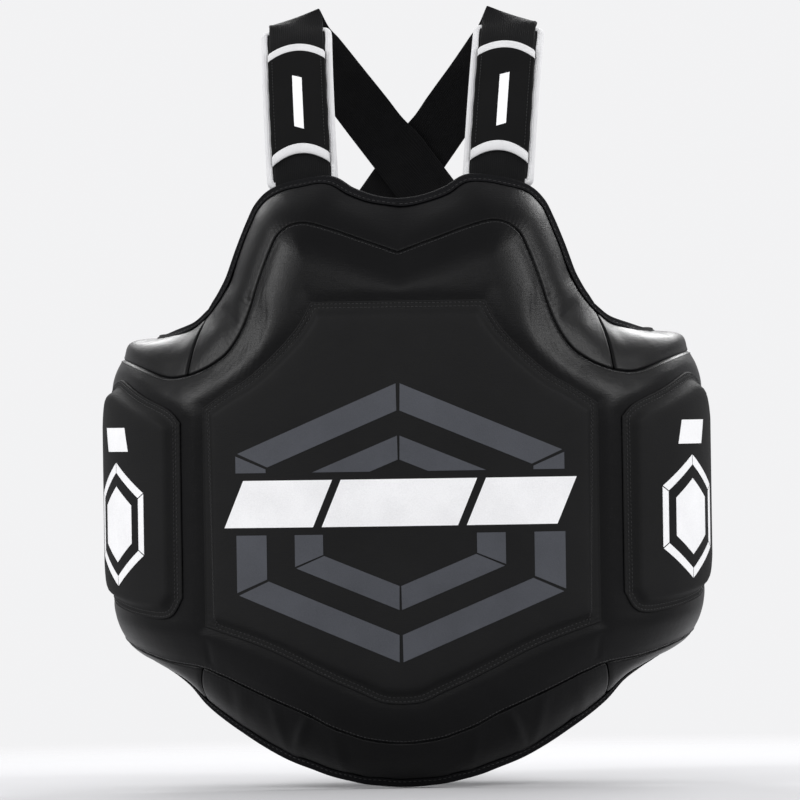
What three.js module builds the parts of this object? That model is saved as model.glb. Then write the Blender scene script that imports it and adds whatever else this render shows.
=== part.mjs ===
// A boxing coach's body protector: a boxed foam shell round the chest and flanks, raised gel
// panels, two padded shoulder straps that cross on the back, and a waist belt.
// Millimetres. The front faces -Y, +Z is up, and Z = 0 is the lowest edge of the shell.
// "right" is +X. Every right-hand piece is built first, and its left-hand twin is its mirror image.
import * as THREE from "three";

const rad = THREE.MathUtils.degToRad;
const { clamp, lerp, smoothstep } = THREE.MathUtils;

// Shell, measured outwards from the wearer's body.
const SHELL_DEPTH = 57;
const WING_TAPER = 10; // the shell is this much thinner at the rear end of each wing
const TAPER = { from: 270, to: 346 }; // and thins between these, measured round the body
const CROWN_DROP = 12; // the face rounds down by this much where it meets its seam
const CROWN_WIDTH = 40;
const EDGE_DEPTH = 8; // what is left at the bound edge
const WALL_BULGE = 5;
const SKIN = 2;
const WALL_SKIN = 3; // measured along the depth, on walls that slope
const LINING = 2;
const CLEARANCE = 0.3;
const LAYER_GAP = 1; // between layers whose facets differ
const FACE_GAP = 2.2; // between the face and its foam
const FOAM_SPLIT = 27; // depth where the two foam layers meet
const FOAM_INSET = -0.09; // the foam's face stops this share of the wall's width inside the seam
const LINING_REACH = 0.94; // how far across the wall's width the lining reaches
const WALL_START = 0.04; // where a wall's panel starts and stops across that width
const WALL_STOP = 0.97;
const SEAM_GAP = 0.005; // and the share of its length that it stays clear of the next panel

// Bound edge.
const BINDING_LEG = 7;
const BINDING_WEB = 2.2;
const BINDING_TAPE = 1.8;
const BINDING_GAP = 0.6; // between the tape and the edge inside it
const BINDING_LEG_GAP = 3.6; // and between its front leg and the wall

// Raised gel panels.
const GEL_FLANGE = 8;
const GEL_RAMP = 6;
const GEL_HEIGHT = 7;
const GEL_SKIN = 1.6;
const GEL_COVER_LIFT = 2 * CLEARANCE;
const GEL_PAD_INSET = 5; // from the foot of the cover's ramp to the pad inside it

// Shoulder straps.
const WEBBING_HALF = 25;
const WEBBING = 1.5;
const ANCHOR = { x: 90, z: 553, depth: -10 }; // where the strap leaves the chest edge
const STRAP_LEAN = rad(3.6);
const STRAP_RADIUS = 285;
const STRAP_START = rad(16); // slope from the vertical where the strap leaves the chest
const STRAP_END = rad(55);
const FOLD = { x: 101.5, y: 31, z: 712.4, tilt: rad(20) }; // highest point, over the shoulder
const FOLD_LEAD = { angle: rad(50), run: 18 }; // places before and after the fold that shape it
const CROSSING_Z = 573;
const DESCENT = rad(53.5);
const REAR_START = -158; // rear run, measured along the strap from the crossing
const REAR_STEP = 19.5;
const CROSSING = { from: 55, to: 125 }; // the upper strap comes down to the back between these
const HUG_START = { from: -110, to: -50 }; // the webbing comes to lie along the back
const HUG_RING = { from: 12, to: 60 }; // and is flat again this near the ring
const RING_AT = 293;
const RING_REACH = 8; // from the ring's centre to the middle of either bar
const RING_BAR = 2;
const RING_DEPTH = 5;
const LOOP_RADIUS = 4; // webbing round a ring's bar
const TAIL_ROOT = 284;

// Shoulder pads, which lie under the webbing, and the sleeves over it.
const PAD = { half: 31.7, from: rad(16.4), to: rad(53.4), top: -2.4, bottom: -10.4 };
const PAD_CORNER = 7;
const PAD_BINDING = { outer: 33, leg: 6, tape: 1 };
const SLEEVE = { half: 26.7, from: rad(22.3), to: rad(43.4), under: 2, over: 3.2 };
const SLEEVE_ARCH = { lower: rad(2.25), upper: rad(2.5) };
const SLEEVE_BINDING = rad(1.95);

// Waist belt.
const BELT = { from: 152, to: 232, thick: 2.5, root: 223, overlap: 70 };
const BELT_LIFT = 0.6;
const PATCH = 1.7;

// The wearer's outline in plan, half of it, as arcs from the breastbone round to the spine.
const TORSO_FRONT = 150;
const PLAN = [
  { radius: 420, length: 150 }, // breast
  { radius: 110, length: 152.6 }, // flank
  { radius: 300, length: 70 }, // wing
  { radius: 110, length: 90 }, // side of the back
  { radius: 387, length: 134 }, // back
];
const HALF_GIRTH = PLAN.reduce((sum, arc) => sum + arc.length, 0);

// The chest leans back above the ribs, and the back rounds over towards the shoulders.
const LEAN = { from: 330, rise: 230, by: 40, power: 1.6 };
const BACK_DOME = { from: 450, rise: 265 };

// Upper and lower borders, front half, seen from the front: half width and height of the face
// seam, then half width and height of the bound edge that lies across the wall from it.
const CHEST_TOP = [
  [0, 490, 0, 538.5],
  [30, 501, 21.5, 542.5],
  [62, 512.5, 43, 550],
  [84, 518.5, 63, 560],
  [97, 517.5, 92, 557.5],
  [106, 512.5, 117, 550],
  [113, 505, 131, 537.5],
  [118.5, 493, 139.5, 521],
  [124, 479, 149, 497.5],
  [132, 456, 158, 472],
  [137.5, 438, 163.5, 460.5],
  [145, 420, 168, 452.5],
  [155, 404.5, 171, 448],
  [167, 393.5, 173, 444.5],
  [181, 385.5, 175, 441.5],
  [197, 380, 177, 439],
];
const BELLY = [
  [0, 41, 0, 2.2],
  [32, 44.5, 32, 4.5],
  [50, 50, 50, 8],
  [68, 57, 68, 12.6],
  [86.5, 67, 84, 18.5],
  [113.5, 79, 108, 28],
  [139.5, 91, 133, 42],
  [167, 104, 159, 59.5],
  [186, 111.5, 181, 77],
];
// The same on the wings, with distances round the body in place of half widths.
const WING_TOP = [
  [195, 378.5, 195, 428],
  [222, 387, 222, 421],
  [249, 393.5, 249, 417],
  [283, 397, 283, 417],
  [312, 396, 316, 416],
  [333, 390, 350, 411],
  [346, 377, 370, 393],
];
const WING_BOTTOM = [
  [195, 117, 205, 95.5],
  [222, 124.5, 231, 107],
  [249, 131.5, 257, 113],
  [283, 139, 285, 116.5],
  [312, 146, 316, 121],
  [333, 154, 350, 130],
  [346, 168, 370, 148],
];

// Gel panels: the centre one by half width, the side ones by distance round the body.
const CENTRE_GEL = {
  top: [[0, 446], [81, 446], [94, 423], [115, 400], [139.5, 378.5], [161, 365.5], [185, 350]],
  bottom: [[0, 77], [19, 79], [38, 87.5], [60, 97], [83, 108], [130, 130.5], [185, 149.5]],
  columns: [0, 27, 54, 81, 94, 115, 139.5, 161, 171, 177, 185],
};
const SIDE_GEL = {
  top: [[177.5, 337], [187, 349], [211, 361], [237, 374], [250, 377], [264, 372], [276, 359], [287, 340]],
  bottom: [[177.5, 176], [188, 158], [213, 159], [245, 166], [262, 171], [276, 182], [287, 202]],
  columns: [177.5, 182.5, 187, 199, 213, 228, 244, 259, 271, 279, 283, 287],
};

const LEATHER = { color: 0x1a1a1c, roughness: 0.42 };
const MATTE_LEATHER = { color: 0x212123, roughness: 0.8 };
const FOAM = { color: 0x3c3d40, roughness: 0.95 };
const GEL = { color: 0x58606a, roughness: 0.5 };
const TAPE = { color: 0x111112, roughness: 0.85 };
const RIBBED = { color: 0x151516, roughness: 0.9 };
const WHITE_TAPE = { color: 0xdcdcde, roughness: 0.8 };
const STEEL = { color: 0xa6a8ab, roughness: 0.3, metalness: 1 };

// A point of the plan outline at a distance s round from the breastbone, with its outward normal.
function planAt(s) {
  let rest = s;
  let heading = 0;
  let x = 0;
  let y = -TORSO_FRONT;
  for (const arc of PLAN) {
    const next = heading + Math.min(rest, arc.length) / arc.radius;
    x += arc.radius * (Math.sin(next) - Math.sin(heading));
    y -= arc.radius * (Math.cos(next) - Math.cos(heading));
    heading = next;
    rest -= arc.length;
    if (rest <= 0) break;
  }
  return { x, y, nx: Math.sin(heading), ny: -Math.cos(heading) };
}

const leanAt = (z) => LEAN.by * Math.max(0, (z - LEAN.from) / LEAN.rise) ** LEAN.power;

// A point of the shell, from its distance round the body, its height and its depth.
function onShell(s, z, depth) {
  const p = planAt(Math.abs(s));
  const x = p.x + depth * p.nx;
  return new THREE.Vector3(s < 0 ? -x : x, p.y + depth * p.ny + leanAt(z), z);
}

// A point of the wearer's back, at a distance w from the spine towards +X.
function backSurface(w, z) {
  const p = planAt(HALF_GIRTH - Math.abs(w));
  const t = Math.max(0, (z - BACK_DOME.from) / BACK_DOME.rise);
  return new THREE.Vector3(w < 0 ? -p.x : p.x, p.y * Math.sqrt(Math.max(0, 1 - t * t)), z);
}

function backNormal(w, z) {
  const across = backSurface(w + 1, z).sub(backSurface(w - 1, z));
  const up = backSurface(w, z + 1).sub(backSurface(w, z - 1));
  return up.cross(across).normalize();
}

const onBack = (w, z, lift) => backSurface(w, z).addScaledVector(backNormal(w, z), lift);

// The distance round the body at which the shell, at a given depth, is this wide from the front.
function arcAt(halfWidth, depth) {
  const HALVINGS = 40;
  let low = 0;
  let high = PLAN[0].length + PLAN[1].length;
  for (let step = 0; step < HALVINGS; step += 1) {
    const middle = (low + high) / 2;
    if (onShell(middle, 0, depth).x < halfWidth) low = middle;
    else high = middle;
  }
  return low;
}

// ---- Borders ----

const spline = (points) => new THREE.SplineCurve(points.map(([s, z]) => new THREE.Vector2(s, z)));

// A border runs from the centre line (k = 0) over the corner of the chest or belly (k = 1) to the
// rear end of the wing (k = 2). f goes across the wall, from the face seam (0) to the edge (1).
function border(front, wing) {
  const stations = [
    ...front.map(([xs, zs, xe, ze]) => [
      arcAt(xs, SHELL_DEPTH - CROWN_DROP),
      zs,
      arcAt(xe, EDGE_DEPTH),
      ze,
    ]),
    ...wing,
  ];
  const seam = spline(stations.map(([s, z]) => [s, z]));
  const edge = spline(stations.map(([, , s, z]) => [s, z]));
  const corner = front.length - 1;
  return (k, f) => {
    const station = k <= 1 ? k * corner : corner + (k - 1) * wing.length;
    const t = station / (corner + wing.length);
    return seam.getPoint(t).lerp(edge.getPoint(t), f);
  };
}
const topBorder = border(CHEST_TOP, WING_TOP);
const bottomBorder = border(BELLY, WING_BOTTOM);

const SEAM_STEPS = 30; // from the centre to a corner, and again from there to the wing's end
const SEAM_LOOP = [];
for (let n = 0; n <= 2 * SEAM_STEPS; n += 1) SEAM_LOOP.push(topBorder(n / SEAM_STEPS, 0));
for (let n = 2 * SEAM_STEPS; n >= 0; n -= 1) SEAM_LOOP.push(bottomBorder(n / SEAM_STEPS, 0));

function distanceToSeam(point) {
  let best = Infinity;
  for (let i = 1; i < SEAM_LOOP.length; i += 1) {
    const a = SEAM_LOOP[i - 1];
    const run = SEAM_LOOP[i].clone().sub(a);
    const along = clamp(point.clone().sub(a).dot(run) / run.lengthSq(), 0, 1);
    best = Math.min(best, a.clone().addScaledVector(run, along).distanceTo(point));
  }
  return best;
}

const fullDepth = (s) => SHELL_DEPTH - WING_TAPER * smoothstep(Math.abs(s), TAPER.from, TAPER.to);
const seamDepth = (s) => fullDepth(s) - CROWN_DROP;

function faceDepth(s, z) {
  const d = distanceToSeam(new THREE.Vector2(Math.abs(s), z));
  return fullDepth(s) - CROWN_DROP * (1 - Math.min(1, d / CROWN_WIDTH)) ** 2;
}

const wallDepth = (s, f) =>
  lerp(seamDepth(s), EDGE_DEPTH, f) + WALL_BULGE * Math.sin(Math.PI * clamp(f, 0, 1));

// How far across the wall the foam reaches at one depth, staying under the wall's skin.
function reachAt(depth, s) {
  const room = seamDepth(s) - WALL_SKIN - 4 * LAYER_GAP - depth;
  return clamp(room / (seamDepth(s) - EDGE_DEPTH), FOAM_INSET, LINING_REACH);
}

// ---- Solids from bent blocks ----

// Bends a subdivided block: place(u, v, w) gives the point, u across, v along and w outwards.
function slab(columns, rows, place) {
  const geometry = new THREE.BoxGeometry(1, 1, 1, columns, rows, 1);
  const position = geometry.attributes.position;
  for (let i = 0; i < position.count; i += 1) {
    const p = place(position.getX(i) + 0.5, position.getY(i) + 0.5, position.getZ(i) + 0.5);
    position.setXYZ(i, p.x, p.y, p.z);
  }
  return geometry;
}

// Bends a ring: place(i, j) gives corner j of the section at step i of the loop.
function loop(steps, corners, place) {
  const geometry = new THREE.TorusGeometry(1, 0.3, corners, steps);
  const { position, uv } = geometry.attributes;
  for (let n = 0; n < position.count; n += 1) {
    const i = Math.round(uv.getX(n) * steps) % steps;
    const j = Math.round(uv.getY(n) * corners) % corners;
    const p = place(i, j);
    position.setXYZ(n, p.x, p.y, p.z);
  }
  return geometry;
}

const root = new THREE.Group();

function addMesh(name, geometry, look, parent = root) {
  const mesh = new THREE.Mesh(geometry, new THREE.MeshStandardMaterial(look));
  mesh.name = name;
  parent.add(mesh);
  return mesh;
}

const leftSide = new THREE.Group();
leftSide.scale.x = -1;
root.add(leftSide);

function addPair(name, geometry, look) {
  addMesh(`${name}_right`, geometry, look);
  addMesh(`${name}_left`, geometry.clone(), look, leftSide);
}

// ---- Shell ----

const FRONT_COLUMNS = 12;
const WING_COLUMNS = 7;
const FACE_ROWS = 8;
const BACK_ROWS = 4;
const HALF_COLUMNS = FRONT_COLUMNS + WING_COLUMNS;

// Turns a place across the whole shell, 0 to 1, into a side and a place k on the borders.
function acrossShell(u) {
  const column = (2 * u - 1) * HALF_COLUMNS;
  const c = Math.abs(column);
  const k = c <= FRONT_COLUMNS ? c / FRONT_COLUMNS : 1 + (c - FRONT_COLUMNS) / WING_COLUMNS;
  return { side: column < 0 ? -1 : 1, k };
}

const easeBothEnds = (v) => 0.5 - 0.5 * Math.cos(Math.PI * v);

// A layer of the shell whose inner and outer faces reach reach(w, s) across the walls.
function shellLayer(rows, reach, depth) {
  return slab(2 * HALF_COLUMNS, rows, (u, v, w) => {
    const { side, k } = acrossShell(u);
    const f = reach(w, topBorder(k, 0).x);
    const p = bottomBorder(k, f).lerp(topBorder(k, f), easeBothEnds(v));
    return onShell(side * p.x, p.y, depth(w, p.x, p.y));
  });
}

function addShell() {
  const SEAM_INSET = -0.02;
  const face = shellLayer(
    FACE_ROWS,
    () => SEAM_INSET,
    (w, s, z) => faceDepth(s, z) - (1 - w) * SKIN,
  );
  addMesh("front_face_cover", face, LEATHER);

  const frontFoam = shellLayer(
    FACE_ROWS,
    (w, s) => (w < 0.5 ? reachAt(FOAM_SPLIT + LAYER_GAP, s) : FOAM_INSET),
    (w, s, z) => (w < 0.5 ? FOAM_SPLIT + LAYER_GAP : faceDepth(s, z) - SKIN - FACE_GAP),
  );
  addMesh("impact_foam_front", frontFoam, FOAM);

  const rearFoam = shellLayer(
    BACK_ROWS,
    (w, s) => (w < 0.5 ? LINING_REACH : reachAt(FOAM_SPLIT, s)),
    (w) => (w < 0.5 ? LINING + 1.5 * LAYER_GAP : FOAM_SPLIT),
  );
  addMesh("impact_foam_rear", rearFoam, FOAM);

  const lining = shellLayer(BACK_ROWS, () => LINING_REACH, (w) => w * LINING);
  addMesh("back_lining", lining, MATTE_LEATHER);
}

// A wall's panel between two places k of one border, on both sides or on the right-hand one.
function wallPanel(edgeLine, from, to, columns, mirrored, upwards) {
  return slab(columns, 3, (u, v, w) => {
    const along = mirrored ? 2 * u - 1 : u;
    const k = mirrored ? Math.abs(along) * to : lerp(from, to, along);
    const f = lerp(WALL_START, WALL_STOP, upwards ? v : 1 - v);
    const p = edgeLine(k, f);
    const depth = wallDepth(edgeLine(k, 0).x, f) - (1 - w) * WALL_SKIN;
    return onShell(along < 0 ? -p.x : p.x, p.y, depth);
  });
}

function addWalls() {
  const chest = wallPanel(topBorder, 0, 1 - SEAM_GAP, 2 * FRONT_COLUMNS, true, true);
  addMesh("chest_wall_cover", chest, LEATHER);
  const belly = wallPanel(bottomBorder, 0, 1 - SEAM_GAP, 2 * FRONT_COLUMNS, true, false);
  addMesh("belly_wall_cover", belly, LEATHER);
  const wingTop = wallPanel(topBorder, 1 + SEAM_GAP, 2 - SEAM_GAP, WING_COLUMNS, false, true);
  addPair("wing_top_wall", wingTop, LEATHER);
  const wingBottom = wallPanel(bottomBorder, 1 + SEAM_GAP, 2 - SEAM_GAP, WING_COLUMNS, false, false);
  addPair("wing_bottom_wall", wingBottom, LEATHER);
  const wingEnd = slab(3, 6, (u, v, w) => {
    const f = lerp(WALL_START, WALL_STOP, u);
    const p = bottomBorder(2, f).lerp(topBorder(2, f), lerp(SEAM_GAP, 1 - SEAM_GAP, v));
    return onShell(p.x, p.y, wallDepth(bottomBorder(2, 0).x, f) - (1 - w) * WALL_SKIN);
  });
  addPair("wing_end_wall", wingEnd, LEATHER);
}

// The bound edge as one closed run: each step holds its seam and edge points on the pattern.
function rimSteps() {
  const half = [];
  const push = (seam, edge) => half.push({ seam, edge });
  const END_STEPS = 6; // up the rear end of a wing
  for (let c = 0; c <= HALF_COLUMNS; c += 1) {
    const { k } = acrossShell(0.5 + c / (2 * HALF_COLUMNS));
    push(topBorder(k, 0), topBorder(k, 1));
  }
  for (let n = END_STEPS - 1; n >= 1; n -= 1) {
    push(
      bottomBorder(2, 0).lerp(topBorder(2, 0), n / END_STEPS),
      bottomBorder(2, 1).lerp(topBorder(2, 1), n / END_STEPS),
    );
  }
  for (let c = HALF_COLUMNS; c >= 0; c -= 1) {
    const { k } = acrossShell(0.5 + c / (2 * HALF_COLUMNS));
    push(bottomBorder(k, 0), bottomBorder(k, 1));
  }
  const flip = (p) => new THREE.Vector2(-p.x, p.y);
  const mirrored = half.slice(1, -1).reverse();
  return [...half, ...mirrored.map(({ seam, edge }) => ({ seam: flip(seam), edge: flip(edge) }))];
}

function addEdgeBinding() {
  const steps = rimSteps();
  const outward = steps.map((_, i) => {
    const before = steps[(i + steps.length - 1) % steps.length].edge;
    const after = steps[(i + 1) % steps.length].edge;
    const run = after.clone().sub(before).normalize();
    return new THREE.Vector2(-run.y, run.x);
  });
  // Each corner of the U section: distance out from the edge and a rule for its depth.
  const section = [
    { out: -BINDING_LEG, depth: (wall) => wall + BINDING_LEG_GAP + BINDING_TAPE },
    { out: -BINDING_LEG, depth: (wall) => wall + BINDING_LEG_GAP },
    { out: BINDING_GAP, depth: () => EDGE_DEPTH + BINDING_LEG_GAP },
    { out: BINDING_GAP, depth: () => -BINDING_GAP },
    { out: -BINDING_LEG, depth: () => -BINDING_GAP },
    { out: -BINDING_LEG, depth: () => -BINDING_GAP - BINDING_TAPE },
    { out: BINDING_WEB, depth: () => -BINDING_GAP - BINDING_TAPE },
    { out: BINDING_WEB, depth: () => EDGE_DEPTH + BINDING_LEG_GAP + BINDING_TAPE },
  ].reverse();
  const binding = loop(steps.length, section.length, (i, j) => {
    const { seam, edge } = steps[i];
    const { out, depth } = section[j];
    const inward = seam.clone().sub(edge);
    const f = 1 + Math.min(0, out) / inward.length();
    const p = out < 0 ? edge.clone().lerp(seam, 1 - f) : edge.clone().addScaledVector(outward[i], out);
    return onShell(p.x, p.y, depth(wallDepth(seam.x, f)));
  });
  addMesh("edge_binding", binding, TAPE);
}

// ---- Gel panels ----

function heightAt(outline, at) {
  const after = Math.max(1, outline.findIndex(([x]) => x >= at));
  const [x0, z0] = outline[after - 1];
  const [x1, z1] = outline[after];
  return lerp(z0, z1, (at - x0) / (x1 - x0));
}

// Rows of one column as [height, distance in from the nearer border].
function gelRows(panel, at, inset) {
  const low = heightAt(panel.bottom, at);
  const high = heightAt(panel.top, at);
  const slopeFoot = GEL_FLANGE + GEL_RAMP;
  const steps = [inset, GEL_FLANGE, slopeFoot].filter((d, i) => i === 0 || d > inset);
  const inner = [0.2, 0.4, 0.6, 0.8].map((v) => lerp(low + slopeFoot, high - slopeFoot, v));
  return [
    ...steps.map((d) => [low + d, d]),
    ...inner.map((z) => [z, Math.min(z - low, high - z)]),
    ...steps.reverse().map((d) => [high - d, d]),
  ];
}

// columns is a list of [distance round the body, place on the outline, distance in from its side].
function gelSolid(panel, columns, inset, bottom, top) {
  const grid = columns.map(([s, at, fromSide]) =>
    gelRows(panel, at, inset).map(([z, fromEdge]) => {
      const d = Math.min(fromEdge, fromSide);
      return [bottom, top].map((lift) => onShell(s, z, faceDepth(s, z) + lift(d)));
    }),
  );
  const lastColumn = columns.length - 1;
  const lastRow = grid[0].length - 1;
  return slab(lastColumn, lastRow, (u, v, w) => {
    return grid[Math.round(u * lastColumn)][Math.round(v * lastRow)][Math.round(w)];
  });
}

function gelPieces(panel, columns) {
  const raised = (d) => smoothstep(d, GEL_FLANGE - 1, GEL_FLANGE + GEL_RAMP) * (GEL_HEIGHT - GEL_SKIN);
  const cover = gelSolid(
    panel,
    columns,
    0,
    (d) => GEL_COVER_LIFT + raised(d),
    (d) => GEL_COVER_LIFT + raised(d) + GEL_SKIN,
  );
  const inset = GEL_FLANGE + GEL_RAMP + GEL_PAD_INSET;
  const inner = columns.filter(([, , fromSide]) => fromSide >= GEL_FLANGE + GEL_RAMP + 1);
  const pad = gelSolid(
    panel,
    inner,
    inset,
    () => GEL_COVER_LIFT + LAYER_GAP,
    () => GEL_COVER_LIFT + GEL_HEIGHT - GEL_SKIN - LAYER_GAP,
  );
  return { cover, pad };
}

function addGelPanels() {
  const half = CENTRE_GEL.columns;
  const widest = half[half.length - 1];
  const centreColumns = [...half.slice(1).reverse().map((x) => -x), ...half].map((x) => {
    const s = arcAt(Math.abs(x), SHELL_DEPTH + GEL_HEIGHT);
    return [x < 0 ? -s : s, Math.abs(x), widest - Math.abs(x)];
  });
  const centre = gelPieces(CENTRE_GEL, centreColumns);
  addMesh("centre_gel_cover", centre.cover, MATTE_LEATHER);
  addMesh("centre_gel_pad", centre.pad, GEL);

  const first = SIDE_GEL.columns[0];
  const last = SIDE_GEL.columns[SIDE_GEL.columns.length - 1];
  const stretch = 1 + SHELL_DEPTH / PLAN[1].radius; // the face is longer round than the body
  const sideColumns = SIDE_GEL.columns.map((s) => [s, s, Math.min(s - first, last - s) * stretch]);
  const side = gelPieces(SIDE_GEL, sideColumns);
  addPair("side_gel_cover", side.cover, MATTE_LEATHER);
  addPair("side_gel_pad", side.pad, GEL);
}

// ---- Shoulder straps, right-hand one ----

const LEAN_UP = new THREE.Vector3(Math.sin(STRAP_LEAN), 0, Math.cos(STRAP_LEAN));
const LEAN_ACROSS = new THREE.Vector3(Math.cos(STRAP_LEAN), 0, -Math.sin(STRAP_LEAN));
const BACKWARDS = new THREE.Vector3(0, 1, 0);

const STRAP_ANCHOR = onShell(arcAt(ANCHOR.x, ANCHOR.depth), ANCHOR.z, ANCHOR.depth);
const STRAP_CENTRE = STRAP_ANCHOR.clone()
  .addScaledVector(BACKWARDS, STRAP_RADIUS * Math.cos(STRAP_START))
  .addScaledVector(LEAN_UP, -STRAP_RADIUS * Math.sin(STRAP_START));

// A point over the front of the shoulder: angle round the strap's arc, place across, lift off it.
function overShoulder(angle, across, lift) {
  const radius = STRAP_RADIUS + lift;
  return STRAP_CENTRE.clone()
    .addScaledVector(BACKWARDS, -radius * Math.cos(angle))
    .addScaledVector(LEAN_UP, radius * Math.sin(angle))
    .addScaledVector(LEAN_ACROSS, across);
}

// A section is a rule that turns (place across, lift) into a point.
function flatSection(centre, across, normal) {
  return (q, lift) => centre.clone().addScaledVector(across, q).addScaledVector(normal, lift);
}

const RUN = new THREE.Vector2(-Math.cos(DESCENT), -Math.sin(DESCENT));
const RUN_ACROSS = new THREE.Vector2(Math.sin(DESCENT), -Math.cos(DESCENT));

// Where the strap's rear run is on the back, as distance from the spine and height.
function rearPattern(d, q) {
  return [RUN.x * d + RUN_ACROSS.x * q, CROSSING_Z + RUN.y * d + RUN_ACROSS.y * q];
}

function rearFrame(d) {
  const [w, z] = rearPattern(d, 0);
  const normal = backNormal(w, z);
  const along = backSurface(...rearPattern(d + 1, 0)).sub(backSurface(...rearPattern(d - 1, 0)));
  const across = along.clone().cross(normal).normalize();
  return { centre: backSurface(w, z), normal, across, along: normal.clone().cross(across) };
}

const ring = rearFrame(RING_AT);
ring.centre.addScaledVector(ring.normal, RING_DEPTH);

// The webbing is flat over the shoulder and again at the ring, and hugs the back between them.
function rearSection(d, height) {
  const { centre, normal, across } = rearFrame(d);
  const shoulder = flatSection(centre.addScaledVector(normal, height), across, normal);
  const atRing = ring.centre.clone()
    .addScaledVector(ring.along, d - RING_AT)
    .addScaledVector(ring.normal, height - RING_DEPTH);
  const flat = d < 0 ? shoulder : flatSection(atRing, ring.across, ring.normal);
  const nearRing = 1 - smoothstep(Math.abs(d - RING_AT), HUG_RING.from, HUG_RING.to);
  const hug = (1 - nearRing) * smoothstep(d, HUG_START.from, HUG_START.to);
  return (q, lift) => flat(q, lift).lerp(onBack(...rearPattern(d, q), height + lift), hug);
}

// A half turn of webbing round one of the ring's bars, from the body side to the outer side.
function turnRoundBar(direction) {
  const bar = ring.centre.clone().addScaledVector(ring.along, -direction * RING_REACH);
  const sections = [];
  const HALF_TURN_STEPS = 6;
  for (let step = 0; step <= HALF_TURN_STEPS; step += 1) {
    const angle = (Math.PI * step) / HALF_TURN_STEPS;
    const inward = ring.normal.clone().multiplyScalar(Math.cos(angle));
    inward.addScaledVector(ring.along, -direction * Math.sin(angle));
    const centre = bar.clone().addScaledVector(inward, -LOOP_RADIUS);
    const across = ring.across.clone().multiplyScalar(direction);
    sections.push(flatSection(centre, across, inward));
  }
  return sections;
}

function strip(sections, halfWidth, low, high, columns = 2) {
  const last = sections.length - 1;
  return slab(columns, last, (u, v, w) => {
    return sections[Math.round(v * last)](lerp(-halfWidth, halfWidth, u), lerp(low, high, w));
  });
}

const steps = (from, to, count) => Array.from({ length: count + 1 }, (_, i) => lerp(from, to, i / count));

// Stops along the rear run, counted in steps from its start.
const rearStops = (first, last) =>
  steps(first, last, last - first).map((n) => REAR_START + n * REAR_STEP);

// The part of the webbing that is sewn to the lining below the chest edge, as [drop, depth, twist].
function sewnSections() {
  const plan = planAt(arcAt(ANCHOR.x, ANCHOR.depth));
  return [[43, -3, 1], [29, -4.4, 0.8], [15, -6.5, 0.45]].map(([drop, depth, twist]) => {
    const z = ANCHOR.z - drop;
    const x = ANCHOR.x - drop * Math.tan(STRAP_LEAN);
    const centre = onShell(arcAt(x, depth), z, depth);
    const slope = STRAP_START;
    const normal = new THREE.Vector3(
      plan.nx * twist * Math.cos(slope),
      -Math.sqrt(1 - (plan.nx * twist) ** 2) * Math.cos(slope),
      Math.sin(slope),
    );
    const across = LEAN_UP.clone().cross(normal).normalize();
    return flatSection(centre, across, normal);
  });
}

function foldSections() {
  const before = overShoulder(FOLD_LEAD.angle, 0, 0);
  const start = overShoulder(STRAP_END, 0, 0);
  const top = new THREE.Vector3(FOLD.x, FOLD.y, FOLD.z);
  const landing = rearFrame(REAR_START);
  const after = rearFrame(REAR_START + FOLD_LEAD.run);
  for (const frame of [landing, after]) frame.centre.addScaledVector(frame.normal, WEBBING);
  const path = new THREE.CatmullRomCurve3([before, start, top, landing.centre, after.centre]);
  const across = new THREE.CatmullRomCurve3([
    LEAN_ACROSS,
    LEAN_ACROSS,
    new THREE.Vector3(Math.cos(FOLD.tilt), 0, -Math.sin(FOLD.tilt)),
    landing.across,
    after.across,
  ]);
  const PLACES = [0.33, 0.415, 0.5, 0.58, 0.66]; // along the path, close together over the fold
  return PLACES.map((t) => {
    const along = path.getTangent(t);
    const normal = across.getPoint(t).cross(along).normalize();
    return flatSection(path.getPoint(t), along.clone().cross(normal), normal);
  });
}

function addStrap(side, crossingLift) {
  const parent = side === "left" ? leftSide : root;
  const add = (name, geometry, look) => addMesh(`${name}_${side}`, geometry, look, parent);
  const heightAtRun = (d) => {
    const away = smoothstep(Math.abs(d), CROSSING.from, CROSSING.to);
    return lerp(crossingLift, d > 0 ? RING_DEPTH - LOOP_RADIUS : WEBBING, away);
  };

  const arc = steps(STRAP_START, STRAP_END, 12).map((angle) => (q, lift) => overShoulder(angle, q, lift));
  const rearRun = rearStops(0, 22).map((d) => rearSection(d, heightAtRun(d)));
  const webbing = [...sewnSections(), ...arc, ...foldSections(), ...rearRun, ...turnRoundBar(1)];
  add("shoulder_webbing", strip(webbing, WEBBING_HALF, -WEBBING / 2, WEBBING / 2), RIBBED);

  const tailHeight = RING_DEPTH + LOOP_RADIUS;
  const tail = [...rearStops(16, 22), TAIL_ROOT].map((d) => rearSection(d, tailHeight));
  add("strap_tail", strip(tail, WEBBING_HALF, -WEBBING / 2, WEBBING / 2), RIBBED);

  const PATCH_HALF = 23;
  const PATCH_THICK = 1.2;
  const face = WEBBING / 2 + 1.6 * LAYER_GAP;
  const loopPatch = rearStops(17, 21).map((d) => rearSection(d, RING_DEPTH - LOOP_RADIUS));
  add("strap_loop", strip(loopPatch, PATCH_HALF, face, face + PATCH_THICK), TAPE);
  const hookPatch = rearStops(17, 20).map((d) => rearSection(d, tailHeight));
  add("tail_hook", strip(hookPatch, PATCH_HALF, -face - PATCH_THICK, -face), TAPE);

  add("strap_ring", ringGeometry(), STEEL);
  add("ring_tab", tabGeometry(), RIBBED);
  addShoulderPad(add);
}

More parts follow.
